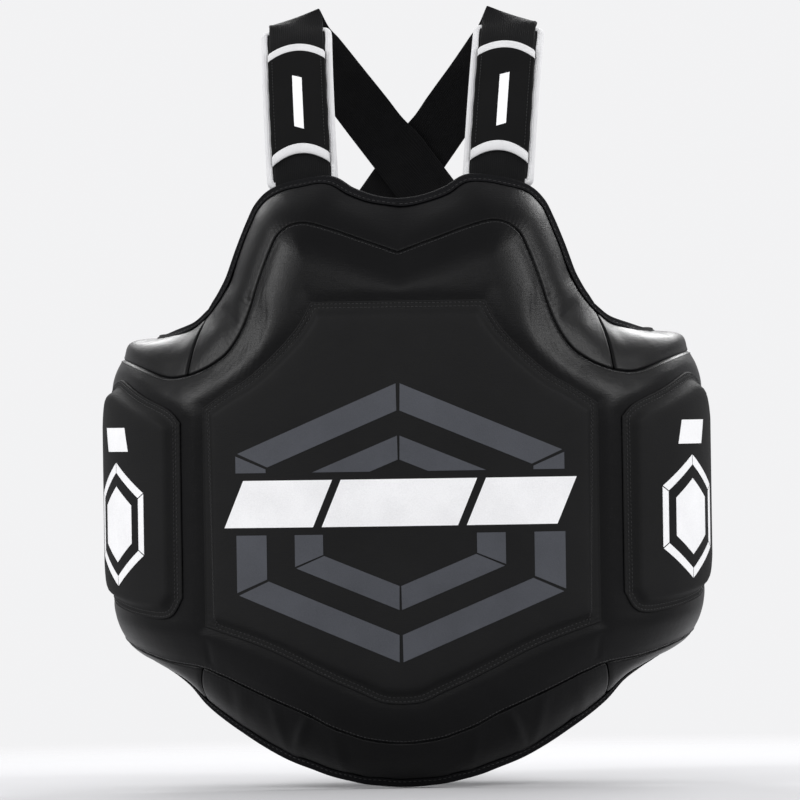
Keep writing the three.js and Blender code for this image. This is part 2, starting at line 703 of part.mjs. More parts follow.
// A rectangular loop of bar stock, lying flat on the back.
function ringGeometry() {
  const inside = { across: 26, along: RING_REACH - RING_BAR };
  const outside = { across: inside.across + 2 * RING_BAR, along: RING_REACH + RING_BAR };
  const outline = (size) => [
    new THREE.Vector2(-size.across, -size.along),
    new THREE.Vector2(size.across, -size.along),
    new THREE.Vector2(size.across, size.along),
    new THREE.Vector2(-size.across, size.along),
  ];
  const BEVEL = 0.7;
  const shrink = (size, by) => ({ across: size.across - by, along: size.along - by });
  const shape = new THREE.Shape(outline(shrink(outside, BEVEL)));
  shape.holes.push(new THREE.Path(outline(shrink(inside, -BEVEL)).reverse()));
  const geometry = new THREE.ExtrudeGeometry(shape, {
    depth: 2 * (RING_BAR - BEVEL),
    bevelThickness: BEVEL,
    bevelSize: BEVEL,
    bevelSegments: 1,
  });
  geometry.translate(0, 0, BEVEL - RING_BAR);
  const basis = new THREE.Matrix4().makeBasis(ring.across, ring.along, ring.normal);
  return geometry.applyMatrix4(basis.setPosition(ring.centre));
}

// The tab that holds the ring: sewn inside the wing's rear edge, round the bar and back on itself.
function tabGeometry() {
  const inner = [[388, -5.4], [360, -5.2], [338, -4.9], [322, -2.4], [310, 0.6]];
  const sections = [
    ...inner.map(([d, height]) => rearSection(d, height)),
    ...turnRoundBar(-1).map((section) => (q, lift) => section(-q, lift)),
    ...[308, 320].map((d) => {
      const section = rearSection(d, RING_DEPTH + LOOP_RADIUS);
      return (q, lift) => section(q, -lift);
    }),
  ];
  return strip(sections.reverse(), WEBBING_HALF, -WEBBING / 2, WEBBING / 2);
}

function padHalfAt(fromEnd) {
  const missing = Math.max(0, PAD_CORNER - fromEnd);
  return PAD.half - (PAD_CORNER - Math.sqrt(PAD_CORNER ** 2 - missing ** 2));
}

function addShoulderPad(add) {
  const length = (PAD.to - PAD.from) * STRAP_RADIUS;
  const ends = [0, 2, PAD_CORNER];
  const END_RUN = 20; // the stops are even between the two ends
  const stops = [
    ...ends, ...steps(END_RUN, length - END_RUN, 8), ...ends.map((d) => length - d).reverse(),
  ];
  const pad = slab(4, stops.length - 1, (u, v, w) => {
    const along = stops[Math.round(v * (stops.length - 1))];
    const half = padHalfAt(Math.min(along, length - along));
    return overShoulder(PAD.from + along / STRAP_RADIUS, lerp(-half, half, u), lerp(PAD.bottom, PAD.top, w));
  });
  add("shoulder_pad", pad, MATTE_LEATHER);
  add("shoulder_pad_binding", padBindingGeometry(), WHITE_TAPE);

  const WALL_INSIDE = WEBBING_HALF + 0.4; // the sleeve's side walls stand just past the webbing
  const sleeveColumns = [9, 18, WALL_INSIDE - 0.05, WALL_INSIDE + 0.05, SLEEVE.half];
  const sleeveAngle = (q, v) => {
    const arch = 1 - (q / SLEEVE.half) ** 2;
    return lerp(SLEEVE.from + SLEEVE_ARCH.lower * arch, SLEEVE.to + SLEEVE_ARCH.upper * arch, v);
  };
  const across = [0, ...sleeveColumns.map((q) => [-q, q]).flat()].sort((a, b) => a - b);
  const sleeve = slab(across.length - 1, 5, (u, v, w) => {
    const q = across[Math.round(u * (across.length - 1))];
    const foot = Math.abs(q) > WALL_INSIDE ? PAD.top + CLEARANCE : SLEEVE.under;
    return overShoulder(sleeveAngle(q, v), q, lerp(foot, SLEEVE.over, w));
  });
  add("shoulder_sleeve", sleeve, MATTE_LEATHER);

  const END_GAP = CLEARANCE / STRAP_RADIUS;
  const sleeveBinding = (end, direction) =>
    slab(8, 2, (u, v, w) => {
      const q = lerp(-SLEEVE.half, SLEEVE.half, u);
      const outwards = direction > 0 ? v : 1 - v;
      const angle = sleeveAngle(q, end) + direction * (END_GAP + outwards * SLEEVE_BINDING);
      return overShoulder(angle, q, lerp(SLEEVE.under - 0.4, SLEEVE.over + 0.6, w));
    });
  add("sleeve_binding_upper", sleeveBinding(1, 1), WHITE_TAPE);
  add("sleeve_binding_lower", sleeveBinding(0, -1), WHITE_TAPE);
}

// Tape folded round the whole rim of a pad.
function padBindingGeometry() {
  const { outer, leg, tape } = PAD_BINDING;
  const middle = (PAD.from + PAD.to) / 2;
  const halfLength = ((PAD.to - PAD.from) / 2) * STRAP_RADIUS + outer - PAD.half;
  const radius = PAD_CORNER + outer - PAD.half;
  const rim = [];
  const corner = (sx, sy, from) => {
    for (let step = 0; step <= 3; step += 1) {
      const angle = from + (Math.PI / 6) * step;
      const normal = new THREE.Vector2(Math.cos(angle), Math.sin(angle));
      const centre = new THREE.Vector2(sx * (outer - radius), sy * (halfLength - radius));
      rim.push({ at: centre.addScaledVector(normal, radius), normal });
    }
  };
  const side = (sx) => {
    const CORNER_GAP = 12;
    const reach = halfLength - radius - CORNER_GAP;
    for (const y of steps(-reach, reach, 6)) {
      rim.push({ at: new THREE.Vector2(sx * outer, sx * y), normal: new THREE.Vector2(sx, 0) });
    }
  };
  side(1);
  corner(1, 1, 0);
  corner(-1, 1, Math.PI / 2);
  side(-1);
  corner(-1, -1, Math.PI);
  corner(1, -1, -Math.PI / 2);
  const top = PAD.top + CLEARANCE;
  const bottom = PAD.bottom - CLEARANCE;
  const section = [
    [leg, top + tape],
    [leg, top],
    [tape, top],
    [tape, bottom],
    [leg, bottom],
    [leg, bottom - tape],
    [0, bottom - tape],
    [0, top + tape],
  ];
  return loop(rim.length, section.length, (i, j) => {
    const [inward, lift] = section[j];
    const p = rim[i].at.clone().addScaledVector(rim[i].normal, -inward);
    return overShoulder(middle + p.y / STRAP_RADIUS, p.x, lift);
  });
}

// ---- Waist belt ----

// A band round the back from w0 to w1, with a rule for the lift of its inner face.
function backBand(w0, w1, low, high, columns, lift, thick) {
  return slab(columns, 2, (u, v, w) => {
    const at = lerp(w1, w0, u);
    return onBack(at, lerp(low, high, v), lift(at) + w * thick);
  });
}

function addBelt() {
  const { from, to, thick, root: rootAt, overlap } = BELT;
  const loopLift = BELT_LIFT + thick + CLEARANCE;
  const hookLift = loopLift + PATCH + CLEARANCE;
  const outerLift = hookLift + PATCH + CLEARANCE;
  const inner = backBand(-overlap, rootAt, from, to, 20, () => BELT_LIFT, thick);
  addMesh("waist_belt_right", inner, RIBBED);
  const RISE = { from: 20 - rootAt, to: -25 - overlap }; // the outer half lifts over the inner one
  const outerLiftAt = (w) => lerp(BELT_LIFT, outerLift, smoothstep(w, RISE.from, RISE.to));
  const outer = backBand(-rootAt, overlap, from, to, 20, outerLiftAt, thick);
  addMesh("waist_belt_left", outer, RIBBED);
  const EDGE = 6;
  const loopPatch = backBand(-overlap + 5, overlap - 5, from + EDGE, to - EDGE, 8, () => loopLift, PATCH);
  addMesh("belt_loop_patch", loopPatch, TAPE);
  const hookPatch = backBand(-20, overlap - 5, from + EDGE, to - EDGE, 6, () => hookLift, PATCH);
  addMesh("belt_hook_patch", hookPatch, TAPE);
}

addShell();
addWalls();
addEdgeBinding();
addGelPanels();
addStrap("right", 2 * WEBBING + 2);
addStrap("left", WEBBING);
addBelt();

// Axes of the moving pieces on the right: a point on each and its direction.
const tailRoot = ring.centre.clone()
  .addScaledVector(ring.along, -RING_REACH)
  .addScaledVector(ring.normal, LOOP_RADIUS + WEBBING / 2);
root.userData.axes = {
  shoulder_pad_right: { point: STRAP_CENTRE, axis: LEAN_ACROSS },
  strap_tail_right: { point: tailRoot, axis: ring.across.clone().negate() },
  waist_belt_right: {
    point: onBack(BELT.root, (BELT.from + BELT.to) / 2, BELT_LIFT + BELT.thick),
    axis: new THREE.Vector3(0, 0, -1),
  },
};

export default root;
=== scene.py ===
"""The looks of a boxing coach's body protector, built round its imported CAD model.

Lengths here are millimetres, as in the pattern that the shell is cut from, and turn into metres
where a mesh is made. A place on the shell is (s, z, depth): s round the body from the breastbone,
z the height, depth outwards from the wearer. The right-hand side is +X; the left is its mirror image.
"""

import math

import bpy
import numpy as np
from mathutils import Matrix, Vector


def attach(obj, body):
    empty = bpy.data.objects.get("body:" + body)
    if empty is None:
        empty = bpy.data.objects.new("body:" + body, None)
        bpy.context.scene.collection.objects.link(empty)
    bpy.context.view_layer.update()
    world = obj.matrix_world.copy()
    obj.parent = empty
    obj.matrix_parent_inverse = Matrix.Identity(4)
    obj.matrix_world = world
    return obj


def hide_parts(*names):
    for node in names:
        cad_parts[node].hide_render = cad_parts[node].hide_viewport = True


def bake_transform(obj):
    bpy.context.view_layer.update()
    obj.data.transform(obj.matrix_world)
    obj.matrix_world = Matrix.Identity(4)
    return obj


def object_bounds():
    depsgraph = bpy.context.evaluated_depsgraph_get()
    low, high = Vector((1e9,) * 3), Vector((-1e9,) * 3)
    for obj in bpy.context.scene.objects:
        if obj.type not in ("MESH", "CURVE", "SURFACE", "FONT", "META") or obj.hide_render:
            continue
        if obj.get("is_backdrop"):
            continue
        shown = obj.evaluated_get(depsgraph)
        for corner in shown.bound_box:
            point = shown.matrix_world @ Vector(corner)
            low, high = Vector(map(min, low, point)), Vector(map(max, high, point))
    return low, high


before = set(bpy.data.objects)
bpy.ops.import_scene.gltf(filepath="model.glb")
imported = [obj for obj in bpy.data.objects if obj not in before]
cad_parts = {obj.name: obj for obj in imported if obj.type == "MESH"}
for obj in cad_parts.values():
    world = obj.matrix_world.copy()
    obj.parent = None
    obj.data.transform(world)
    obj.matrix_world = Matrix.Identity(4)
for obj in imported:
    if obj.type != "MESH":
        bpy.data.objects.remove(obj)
cad_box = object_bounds()

MM = 0.001  # metres

# ---- The shell's driving sizes, the same as in the CAD model ----

SHELL_DEPTH = 57
WING_TAPER, TAPER_FROM, TAPER_TO = 10, 270, 346
CROWN_DROP, CROWN_WIDTH = 12, 40
EDGE_DEPTH = 8
WALL_BULGE = 5
SKIN = 2
LINING = 2
FOAM_SPLIT = 27
LINING_REACH = 0.94
GEL_FLANGE, GEL_RAMP, GEL_HEIGHT, GEL_SKIN, GEL_LIFT = 8, 6, 7, 1.6, 0.6

TORSO_FRONT = 150
PLAN = [(420, 150), (110, 152.6), (300, 70), (110, 90), (387, 134)]  # radius and length of each arc
HALF_GIRTH = sum(length for _, length in PLAN)
LEAN_FROM, LEAN_RISE, LEAN_BY, LEAN_POWER = 330, 230, 40, 1.6
DOME_FROM, DOME_RISE = 450, 265

# Borders: half width and height of the face seam, then of the bound edge across the wall from it.
CHEST_TOP = [
    (0, 490, 0, 538.5), (30, 501, 21.5, 541.3), (62, 512.5, 43, 549), (84, 518.5, 63, 560),
    (97, 517.5, 92, 557.5), (106, 512.5, 117, 550), (113, 505, 131, 537.5), (118.5, 493, 139.5, 521),
    (124, 479, 149, 497.5), (132, 456, 158, 472), (137.5, 438, 163.5, 460.5), (145, 420, 168, 452.5),
    (155, 404.5, 171, 448), (167, 393.5, 173, 444.5), (181, 385.5, 175, 441.5), (197, 380, 177, 439),
]
BELLY = [
    (0, 41, 0, 2.2), (32, 44.5, 32, 4.5), (50, 50, 50, 8), (68, 57, 68, 12.6), (86.5, 67, 84, 18.5),
    (113.5, 79, 108, 28), (139.5, 91, 133, 42), (167, 104, 159, 59.5), (186, 111.5, 181, 77),
]
# The same on the wings, with distances round the body in place of half widths.
WING_TOP = [
    (195, 378.5, 195, 428), (222, 387, 222, 421), (249, 393.5, 249, 417), (283, 397, 283, 417),
    (312, 396, 316, 416), (333, 390, 350, 411), (346, 377, 370, 393),
]
WING_BOTTOM = [
    (195, 117, 205, 95.5), (222, 124.5, 231, 107), (249, 131.5, 257, 113), (283, 139, 285, 116.5),
    (312, 146, 316, 121), (333, 154, 350, 130), (346, 168, 370, 148),
]
# Gel panels, each line of the outline by itself: the centre one by half width, the side ones by s.
CENTRE_TOP = [
    [(0, 446), (81, 446)],
    [(81, 446), (94, 423), (115, 400), (139.5, 378.5), (161, 365.5), (185, 350)],
]
CENTRE_BOTTOM = [
    [(0, 77), (19, 79), (38, 87.5), (60, 97), (83, 108), (130, 130.5), (185, 149.5)],
]
SIDE_TOP = [
    [(177.5, 337), (187, 349), (211, 361), (237, 374), (250, 377), (264, 372), (276, 359), (287, 340)],
]
SIDE_BOTTOM = [
    [(177.5, 176), (188, 158), (213, 159), (245, 166), (262, 171), (276, 182), (287, 202)],
]


# ---- Small mathematics ----

def mixed(a, b, t):
    return a + (b - a) * t


def smooth(x, low, high):
    t = np.clip((np.asarray(x, float) - low) / (high - low), 0, 1)
    return t * t * (3 - 2 * t)


def eased(count):
    """Places from 0 to 1 that crowd together towards both ends."""
    return 0.5 - 0.5 * np.cos(np.pi * np.linspace(0, 1, count + 1))


def unit(v):
    return v / np.linalg.norm(v, axis=-1, keepdims=True)


def bump_at(x, centre, half):
    return np.exp(-(((x - centre) / half) ** 2))


def together(*values):
    """The values as arrays of numbers that all have one shape."""
    return np.broadcast_arrays(*[np.asarray(value, float) for value in values])


def closed(line):
    """A line that ends at its own first point."""
    return np.concatenate([line, line[:1]])


def lengths_to(line):
    """How far along a line each of its points lies."""
    return np.concatenate([[0], np.cumsum(np.linalg.norm(np.diff(line, axis=0), axis=1))])


def points_at(places, line, lengths):
    """Points of a line at places along it, where lengths are the places of its own points."""
    return np.stack([np.interp(places, lengths, part) for part in line.T], -1)


def left_of(run):
    """Unit vectors at right angles to the steps of a flat line, on its left-hand side."""
    return unit(np.stack([-run[:, 1], run[:, 0]], -1))


def spline(points, level_start=False):
    """A uniform Catmull-Rom curve through points, by a place from 0 to 1.

    With a level start it joins its own mirror image, across the middle, without a corner.
    """
    p = np.array(points, float)
    last = len(p) - 1
    before = p[1] * (-1, 1) if level_start else p[0]

    def at(t):
        place = np.clip(t, 0, 1) * last
        i = np.minimum(np.floor(place).astype(int), last - 1)
        w = (place - i)[..., None]
        b, c, d = p[i], p[i + 1], p[np.minimum(i + 2, last)]
        a = np.where((i == 0)[..., None], before, p[i - 1])
        u, v = (c - a) / 2, (d - b) / 2
        return ((2 * b - 2 * c + u + v) * w - 3 * b + 3 * c - 2 * u - v) * w * w + u * w + b

    return at


# ---- The body map ----

def plan_at(s):
    """A point of the wearer's outline and its outward normal."""
    s = np.asarray(s, float)
    x, y, heading = np.zeros_like(s), np.full_like(s, -TORSO_FRONT), np.zeros_like(s)
    begin = 0
    for radius, length in PLAN:
        turned = np.clip(s - begin, 0, length) / radius
        x = x + radius * (np.sin(heading + turned) - np.sin(heading))
        y = y - radius * (np.cos(heading + turned) - np.cos(heading))
        heading = heading + turned
        begin += length
    return x, y, np.sin(heading), -np.cos(heading)


def on_shell(s, z, depth):
    """The point in space of a place on the shell."""
    s, z, depth = together(s, z, depth)
    x, y, nx, ny = plan_at(np.abs(s))
    lean = LEAN_BY * (np.clip(z - LEAN_FROM, 0, None) / LEAN_RISE) ** LEAN_POWER
    side = np.where(s < 0, -1, 1)
    return np.stack([side * (x + depth * nx), y + depth * ny + lean, z], -1)


def back_surface(w, z):
    """A point of the wearer's back, w from the spine towards +X."""
    w, z = together(w, z)
    x, y, _, _ = plan_at(HALF_GIRTH - np.abs(w))
    t = np.clip(z - DOME_FROM, 0, None) / DOME_RISE
    return np.stack([np.where(w < 0, -x, x), y * np.sqrt(np.clip(1 - t * t, 0, 1)), z], -1)


def on_back(w, z, lift):
    """A point lifted off the wearer's back."""
    across = back_surface(w + 1, z) - back_surface(w - 1, z)
    up = back_surface(w, z + 1) - back_surface(w, z - 1)
    return back_surface(w, z) + unit(np.cross(up, across)) * np.asarray(lift, float)[..., None]


ARC_TABLE = np.linspace(0, PLAN[0][1] + PLAN[1][1], 1500)
FACE_STRETCH_DEPTH = 50  # where lengths round the shell's face are measured


def arc_at(half_width, depth):
    """The distance round the body at which the shell, at a given depth, is this wide."""
    return np.interp(half_width, on_shell(ARC_TABLE, 0, depth)[:, 0], ARC_TABLE)


def face_length(s):
    """Distance round the shell's face, where s is measured round the wearer."""
    length, begin = np.zeros_like(np.asarray(s, float)), 0
    for radius, run in PLAN:
        inside = np.clip(np.abs(s) - begin, 0, run)
        length = length + inside * (radius + FACE_STRETCH_DEPTH) / radius
        begin += run
    return np.sign(s) * length


LENGTH_TABLE = np.linspace(0, HALF_GIRTH, 3000)


def from_face_length(length):
    """The distance round the wearer for a distance round the shell's face."""
    return np.sign(length) * np.interp(np.abs(length), face_length(LENGTH_TABLE), LENGTH_TABLE)


def border(front, wing, pointed_seam):
    """A rule from k (0 centre, 1 corner, 2 wing end) and f (0 seam, 1 edge) to a place (s, z)."""
    inner = [(arc_at(xs, SHELL_DEPTH - CROWN_DROP), zs) for xs, zs, _, _ in front]
    outer = [(arc_at(xe, EDGE_DEPTH), ze) for _, _, xe, ze in front]
    seam = spline(inner + [(s, z) for s, z, _, _ in wing], level_start=not pointed_seam)
    edge = spline(outer + [(s, z) for _, _, s, z in wing], level_start=True)
    corner, count = len(front) - 1, len(front) + len(wing) - 1

    def at(k, f):
        k, f = together(k, f)
        station = np.where(k <= 1, k * corner, corner + (k - 1) * len(wing)) / count
        return mixed(seam(station), edge(station), f[..., None])

    return at


top_border = border(CHEST_TOP, WING_TOP, pointed_seam=True)
bottom_border = border(BELLY, WING_BOTTOM, pointed_seam=False)

K_LOOP = np.linspace(0, 2, 121)
# The right-hand half of the face seam, from the neckline round to the belly, as places (s, z).
HALF_LOOP = np.concatenate([top_border(K_LOOP, 0), bottom_border(K_LOOP[::-1], 0)])


def line_distance(points, line):
    """How far each (a, b) point is from a line, and how far along the line that is."""
    shape = points.shape[:-1]
    p = points.reshape(-1, 1, 2)
    start, run = line[:-1], np.diff(line, axis=0)
    size = np.maximum(np.linalg.norm(run, axis=1), 1e-6)
    t = np.clip(((p - start) * run).sum(-1) / size**2, 0, 1)
    gap = np.linalg.norm(p - start - t[..., None] * run, axis=-1)
    nearest = gap.argmin(1)
    row = np.arange(len(gap))
    begin = np.concatenate([[0], np.cumsum(size)[:-1]])
    along = begin[nearest] + t[row, nearest] * size[nearest]
    return gap[row, nearest].reshape(shape), along.reshape(shape)


def flat(s, z):
    """A place on the shell as it lies when the face is unrolled."""
    return np.stack(together(face_length(s), z), -1)


# ---- Gel panel outlines ----

OUTLINE_STEPS = 24  # points on each line of an outline


def sampled(parts):
    """The lines of an outline as one run of points, with their corners kept."""
    lines = [spline(part)(np.linspace(0, 1, OUTLINE_STEPS)) for part in parts]
    return np.concatenate([lines[0], *(line[1:] for line in lines[1:])])


class Panel:
    """A raised gel panel: its outline on the pattern, and the height of its cover over the face."""

    def __init__(self, top, bottom, to_s, mirrored):
        self.top, self.bottom = sampled(top), sampled(bottom)
        self.top[:, 0], self.bottom[:, 0] = to_s(self.top[:, 0]), to_s(self.bottom[:, 0])
        self.first = -self.top[-1, 0] if mirrored else self.top[0, 0]
        self.last = self.top[-1, 0]
        half = [*self.top, *self.bottom[::-1]]
        loop = np.array(half + ([(-s, z) for s, z in half[::-1]] if mirrored else [half[0]]))
        apart = np.linalg.norm(np.diff(loop, axis=0), axis=1) > 0.01
        self.outline = flat(*loop[np.concatenate([[True], apart])].T)

    def heights(self, s):
        """Lowest and highest place of the panel in one column."""
        at = np.abs(s)
        return (np.interp(at, *self.bottom.T), np.interp(at, *self.top.T))

    def inset(self, s, z):
        """Distance in from the outline, below 0 outside it, and the place along the outline."""
        gap, along = line_distance(flat(s, z), self.outline)
        low, high = self.heights(s)
        inside = (s >= self.first) & (s <= self.last) & (z >= low) & (z <= high)
        return np.where(inside, gap, -gap), along


centre_panel = Panel(
    CENTRE_TOP, CENTRE_BOTTOM, lambda x: arc_at(x, SHELL_DEPTH + GEL_HEIGHT), mirrored=True
)
side_panel = Panel(SIDE_TOP, SIDE_BOTTOM, lambda s: s, mirrored=False)

# ---- The shell's surfaces ----

SEAM_DIP, SEAM_HALF = 1.5, 1.1  # the covers turn inwards where they are sewn together
PUCKER, PUCKER_PITCH, PUCKER_REACH = 0.2, 6.5, 5
PANEL_DIP, PANEL_DIP_HALF = 2.4, 9  # the face is drawn in under a panel's sewn flange
FACE_SEAM = flat(*HALF_LOOP.T)


def full_depth(s):
    return SHELL_DEPTH - WING_TAPER * smooth(np.abs(s), TAPER_FROM, TAPER_TO)


def seam_depth(s):
    return full_depth(s) - CROWN_DROP


def face_depth(s, z):
    """Depth of the plain face, which rounds down to its seam."""
    gap, _ = line_distance(np.stack(together(np.abs(s), z), -1), HALF_LOOP)
    return full_depth(s) - CROWN_DROP * (1 - np.minimum(1, gap / CROWN_WIDTH)) ** 2


def cover_depth(s, z):
    """Depth of the sewn face cover: drawn in along its seam and round each gel panel."""
    s, z = together(s, z)
    gap, along = line_distance(flat(np.abs(s), z), FACE_SEAM)
    seam = SEAM_DIP * bump_at(gap, 0, SEAM_HALF)
    pucker = PUCKER * np.sin(along * 2 * np.pi / PUCKER_PITCH) * np.exp(-gap / PUCKER_REACH)
    centre_inset, _ = centre_panel.inset(s, z)
    side_inset, _ = side_panel.inset(np.abs(s), z)
    inset = np.maximum(centre_inset, side_inset)
    dip = PANEL_DIP * bump_at(inset, GEL_FLANGE / 2, PANEL_DIP_HALF)
    return face_depth(s, z) - seam - pucker - dip


FLANGE_ROWS = (2.4, 6.0)  # the two stitch rows on a gel panel's flange
ROW_DIP, ROW_HALF = 0.45, 0.9
GEL_CROWN, GEL_CROWN_REACH = 1.3, 40
HEM_DROP, HEM_REACH = 0.7, 1.2  # the cover thins by this share at its very edge
RIPPLE, RIPPLE_PITCH = 0.16, 6.3  # slight waves between the stitches


def gel_depth(panel, s, z):
    """Depth of a gel panel's outer surface."""
    inset, along = panel.inset(s, z)
    inset = np.maximum(inset, 0)
    raised = smooth(inset, GEL_FLANGE - 1, GEL_FLANGE + GEL_RAMP) * (GEL_HEIGHT - GEL_SKIN)
    crown = GEL_CROWN * (1 - np.exp(-np.maximum(0, inset - GEL_FLANGE) / GEL_CROWN_REACH))
    hem = GEL_SKIN * (1 - HEM_DROP * np.clip(1 - inset / HEM_REACH, 0, 1) ** 2)
    flange = 1 - smooth(inset, GEL_FLANGE - 2, GEL_FLANGE + 2)
    rows = sum(ROW_DIP * bump_at(inset, row, ROW_HALF) for row in FLANGE_ROWS)
    ripple = RIPPLE * np.sin(along * 2 * np.pi / RIPPLE_PITCH) * flange
    return cover_depth(s, z) + GEL_LIFT + raised + crown + hem - rows - ripple


def wall_depth(seam_s, f):
    """Depth of a wall, f of the way from the face seam to the bound edge."""
    return mixed(seam_depth(seam_s), EDGE_DEPTH, f) + WALL_BULGE * np.sin(np.pi * np.clip(f, 0, 1))


# ---- Meshes ----

def quads(a, b, c, d):
    return np.stack([a, b, c, d], -1).reshape(-1, 4)


def slab(outer, inner):
    """Closed faces round two grids of points, the outer skin and the inner one."""
    rows, columns = outer.shape[:2]
    count = rows * columns
    up = np.arange(count).reshape(rows, columns)
    under = up + count
    rim = np.concatenate([up[0, :-1], up[:-1, -1], up[-1, :0:-1], up[:0:-1, 0]])
    after = np.roll(rim, -1)
    faces = np.concatenate([
        quads(up[:-1, :-1], up[:-1, 1:], up[1:, 1:], up[1:, :-1]),
        quads(under[:-1, :-1], under[1:, :-1], under[1:, 1:], under[:-1, 1:]),
        quads(rim, rim + count, after + count, after),
    ])
    return np.concatenate([outer.reshape(-1, 3), inner.reshape(-1, 3)]), faces


def ring(points):
    """Closed faces of a ring: steps round it by corners of its section."""
    steps, corners = points.shape[:2]
    index = np.arange(steps * corners).reshape(steps, corners)
    ahead, beside = np.roll(index, -1, 0), np.roll(index, -1, 1)
    return points.reshape(-1, 3), quads(index, ahead, np.roll(ahead, -1, 1), beside)


def outwards(points, faces):
    """The same faces, turned so that they point out of the closed body."""
    a, b, c, d = (points[faces[:, i]] for i in range(4))
    volume = (np.cross(b - a, c - a) * a).sum() + (np.cross(c - a, d - a) * a).sum()
    return faces if volume > 0 else faces[:, ::-1]


SIDES = (("right", 1), ("left", -1))
SHARP_ANGLE = math.radians(48)  # faces that meet at more than this keep a crisp edge
looks = {}  # the material of each look, by its name


def new_object(name, points, faces, weave=None):
    mesh = bpy.data.meshes.new(name)
    mesh.from_pydata((np.asarray(points) * MM).tolist(), [], faces.tolist())
    mesh.polygons.foreach_set("use_smooth", [True] * len(mesh.polygons))
    mesh.set_sharp_from_angle(angle=SHARP_ANGLE)
    if weave is not None:
        attribute = mesh.attributes.new("weave", "FLOAT_VECTOR", "POINT")
        attribute.data.foreach_set("vector", (np.asarray(weave, float) * MM).ravel())
    piece = bpy.data.objects.new(name, mesh)
    bpy.context.scene.collection.objects.link(piece)
    return piece


def weave_map(across, along, skins=1):
    """Where each point lies on the flat cloth, across and along it, for one skin or for both."""
    across, along = together(across, along)
    return np.concatenate([np.stack([across, along, 0 * across], -1).reshape(-1, 3)] * skins)


def add(name, shape, look, body="vest", nodes=(), weave=None, bend=None, fill=None):
    """One piece of the object, with its look, its body and the CAD nodes that it stands for.

    A piece with a bend, two points, is not attached to any body: its place is baked into its mesh, and the
    two points are not used.
    The fill, from 0 for slack to 1 for tight, is not used.
    """
    points, faces = shape
    piece = new_object(name, points, outwards(points, faces), weave)
    piece.data.materials.append(looks[look])
    if bend is None:
        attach(piece, body)
    else:
        start, end = (tuple(point * MM) for point in bend)
        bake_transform(piece)
    if nodes:
        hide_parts(*nodes)


def mirrored(shape, sign):
    """A right-hand shape as it is on one side, 1 for the right and -1 for the left."""
    points, faces = shape
    return points * (sign, 1, 1), faces


def add_pair(name, shape, look, body="vest", node=None, weave=None, fill=None):
    """A right-hand piece and its mirror image. A body's or node's side is added to its name."""
    for side, sign in SIDES:
        where = body if body == "vest" else f"{body}_{side}"
        nodes = [f"{node}_{side}"] if node else []
        add(f"{name}_{side}", mirrored(shape, sign), look, where, nodes, weave, fill=fill)


# ---- Cloth simulation ----

SIMULATED_FRAMES = 22


def softened(t):
    """From 0 to 1, halfway between a straight line and a smooth step."""
    return t * t * (3 - 2 * t) * 0.5 + t * 0.5


def simulated(name, place, columns, rows, held, pressure, growth, cap):
    """Puffs up a sheet and gives the shift of each of its points, as a rule of (u, v).

    place(u, v) is the sheet at rest, held(u, v) how firmly each point is pinned, from 0 to 1.
    The cloth is cut larger than its place by growth, so that it wrinkles, and moves at most cap.
    """
    u, v = np.meshgrid(np.linspace(0, 1, columns + 1), np.linspace(0, 1, rows + 1))
    rest = place(u, v)
    index = np.arange(rest[..., 0].size).reshape(u.shape)
    faces = quads(index[:-1, :-1], index[:-1, 1:], index[1:, 1:], index[1:, :-1])
    sheet = new_object(name, rest.reshape(-1, 3), faces)
    group = sheet.vertex_groups.new(name="pins")
    for i, weight in enumerate(np.clip(held(u, v), 0, 1).ravel()):
        group.add([i], float(weight), "REPLACE")
    cloth = sheet.modifiers.new("Cloth", "CLOTH")
    settings = cloth.settings
    settings.quality = 5
    settings.mass = 0.25
    settings.tension_stiffness = 12
    settings.compression_stiffness = 12
    settings.shear_stiffness = 6
    settings.bending_stiffness = 6
    settings.air_damping = 2
    settings.use_pressure = True
    settings.uniform_pressure_force = pressure
    settings.vertex_group_mass = "pins"
    settings.pin_stiffness = 1
    settings.shrink_min = -growth
    settings.effector_weights.gravity = 0
    cloth.collision_settings.use_collision = False
    for step in range(1, SIMULATED_FRAMES + 1):
        bpy.context.scene.frame_set(step)
    result = sheet.evaluated_get(bpy.context.evaluated_depsgraph_get()).data
    moved = np.zeros(rest.size)
    result.vertices.foreach_get("co", moved)
    shift = moved.reshape(rest.shape) / MM - rest
    bpy.data.objects.remove(sheet)
    bpy.context.scene.frame_set(1)
    size = np.linalg.norm(shift, axis=-1, keepdims=True)
    shift = shift * np.tanh(size / cap) * cap / np.maximum(size, 1e-9)
    shift = shift * (1 - np.clip(held(u, v), 0, 1))[..., None]
    print(f"{name} moved up to {size.max():.1f} mm, kept {np.abs(shift).max():.1f}")

    def at(u, v):
        a, b = np.asarray(u) * columns, np.asarray(v) * rows
        i = np.clip(np.floor(a).astype(int), 0, columns - 1)
        j = np.clip(np.floor(b).astype(int), 0, rows - 1)
        p, q = (a - i)[..., None], (b - j)[..., None]
        low = mixed(shift[j, i], shift[j, i + 1], softened(p))
        high = mixed(shift[j + 1, i], shift[j + 1, i + 1], softened(p))
        return mixed(low, high, softened(q))

    return at


# ---- Stitches ----

STITCH_SHARE = 0.68  # of a stitch's pitch, where the thread shows
THREAD_CORNERS = 6
THREAD_PROFILE = [  # place along a stitch, thickness and lift as shares of the thread's radius
    (0, 0.25, -0.55), (0.12, 0.85, 0), (0.5, 1, 0.35), (0.88, 0.85, 0), (1, 0.25, -0.55),
]


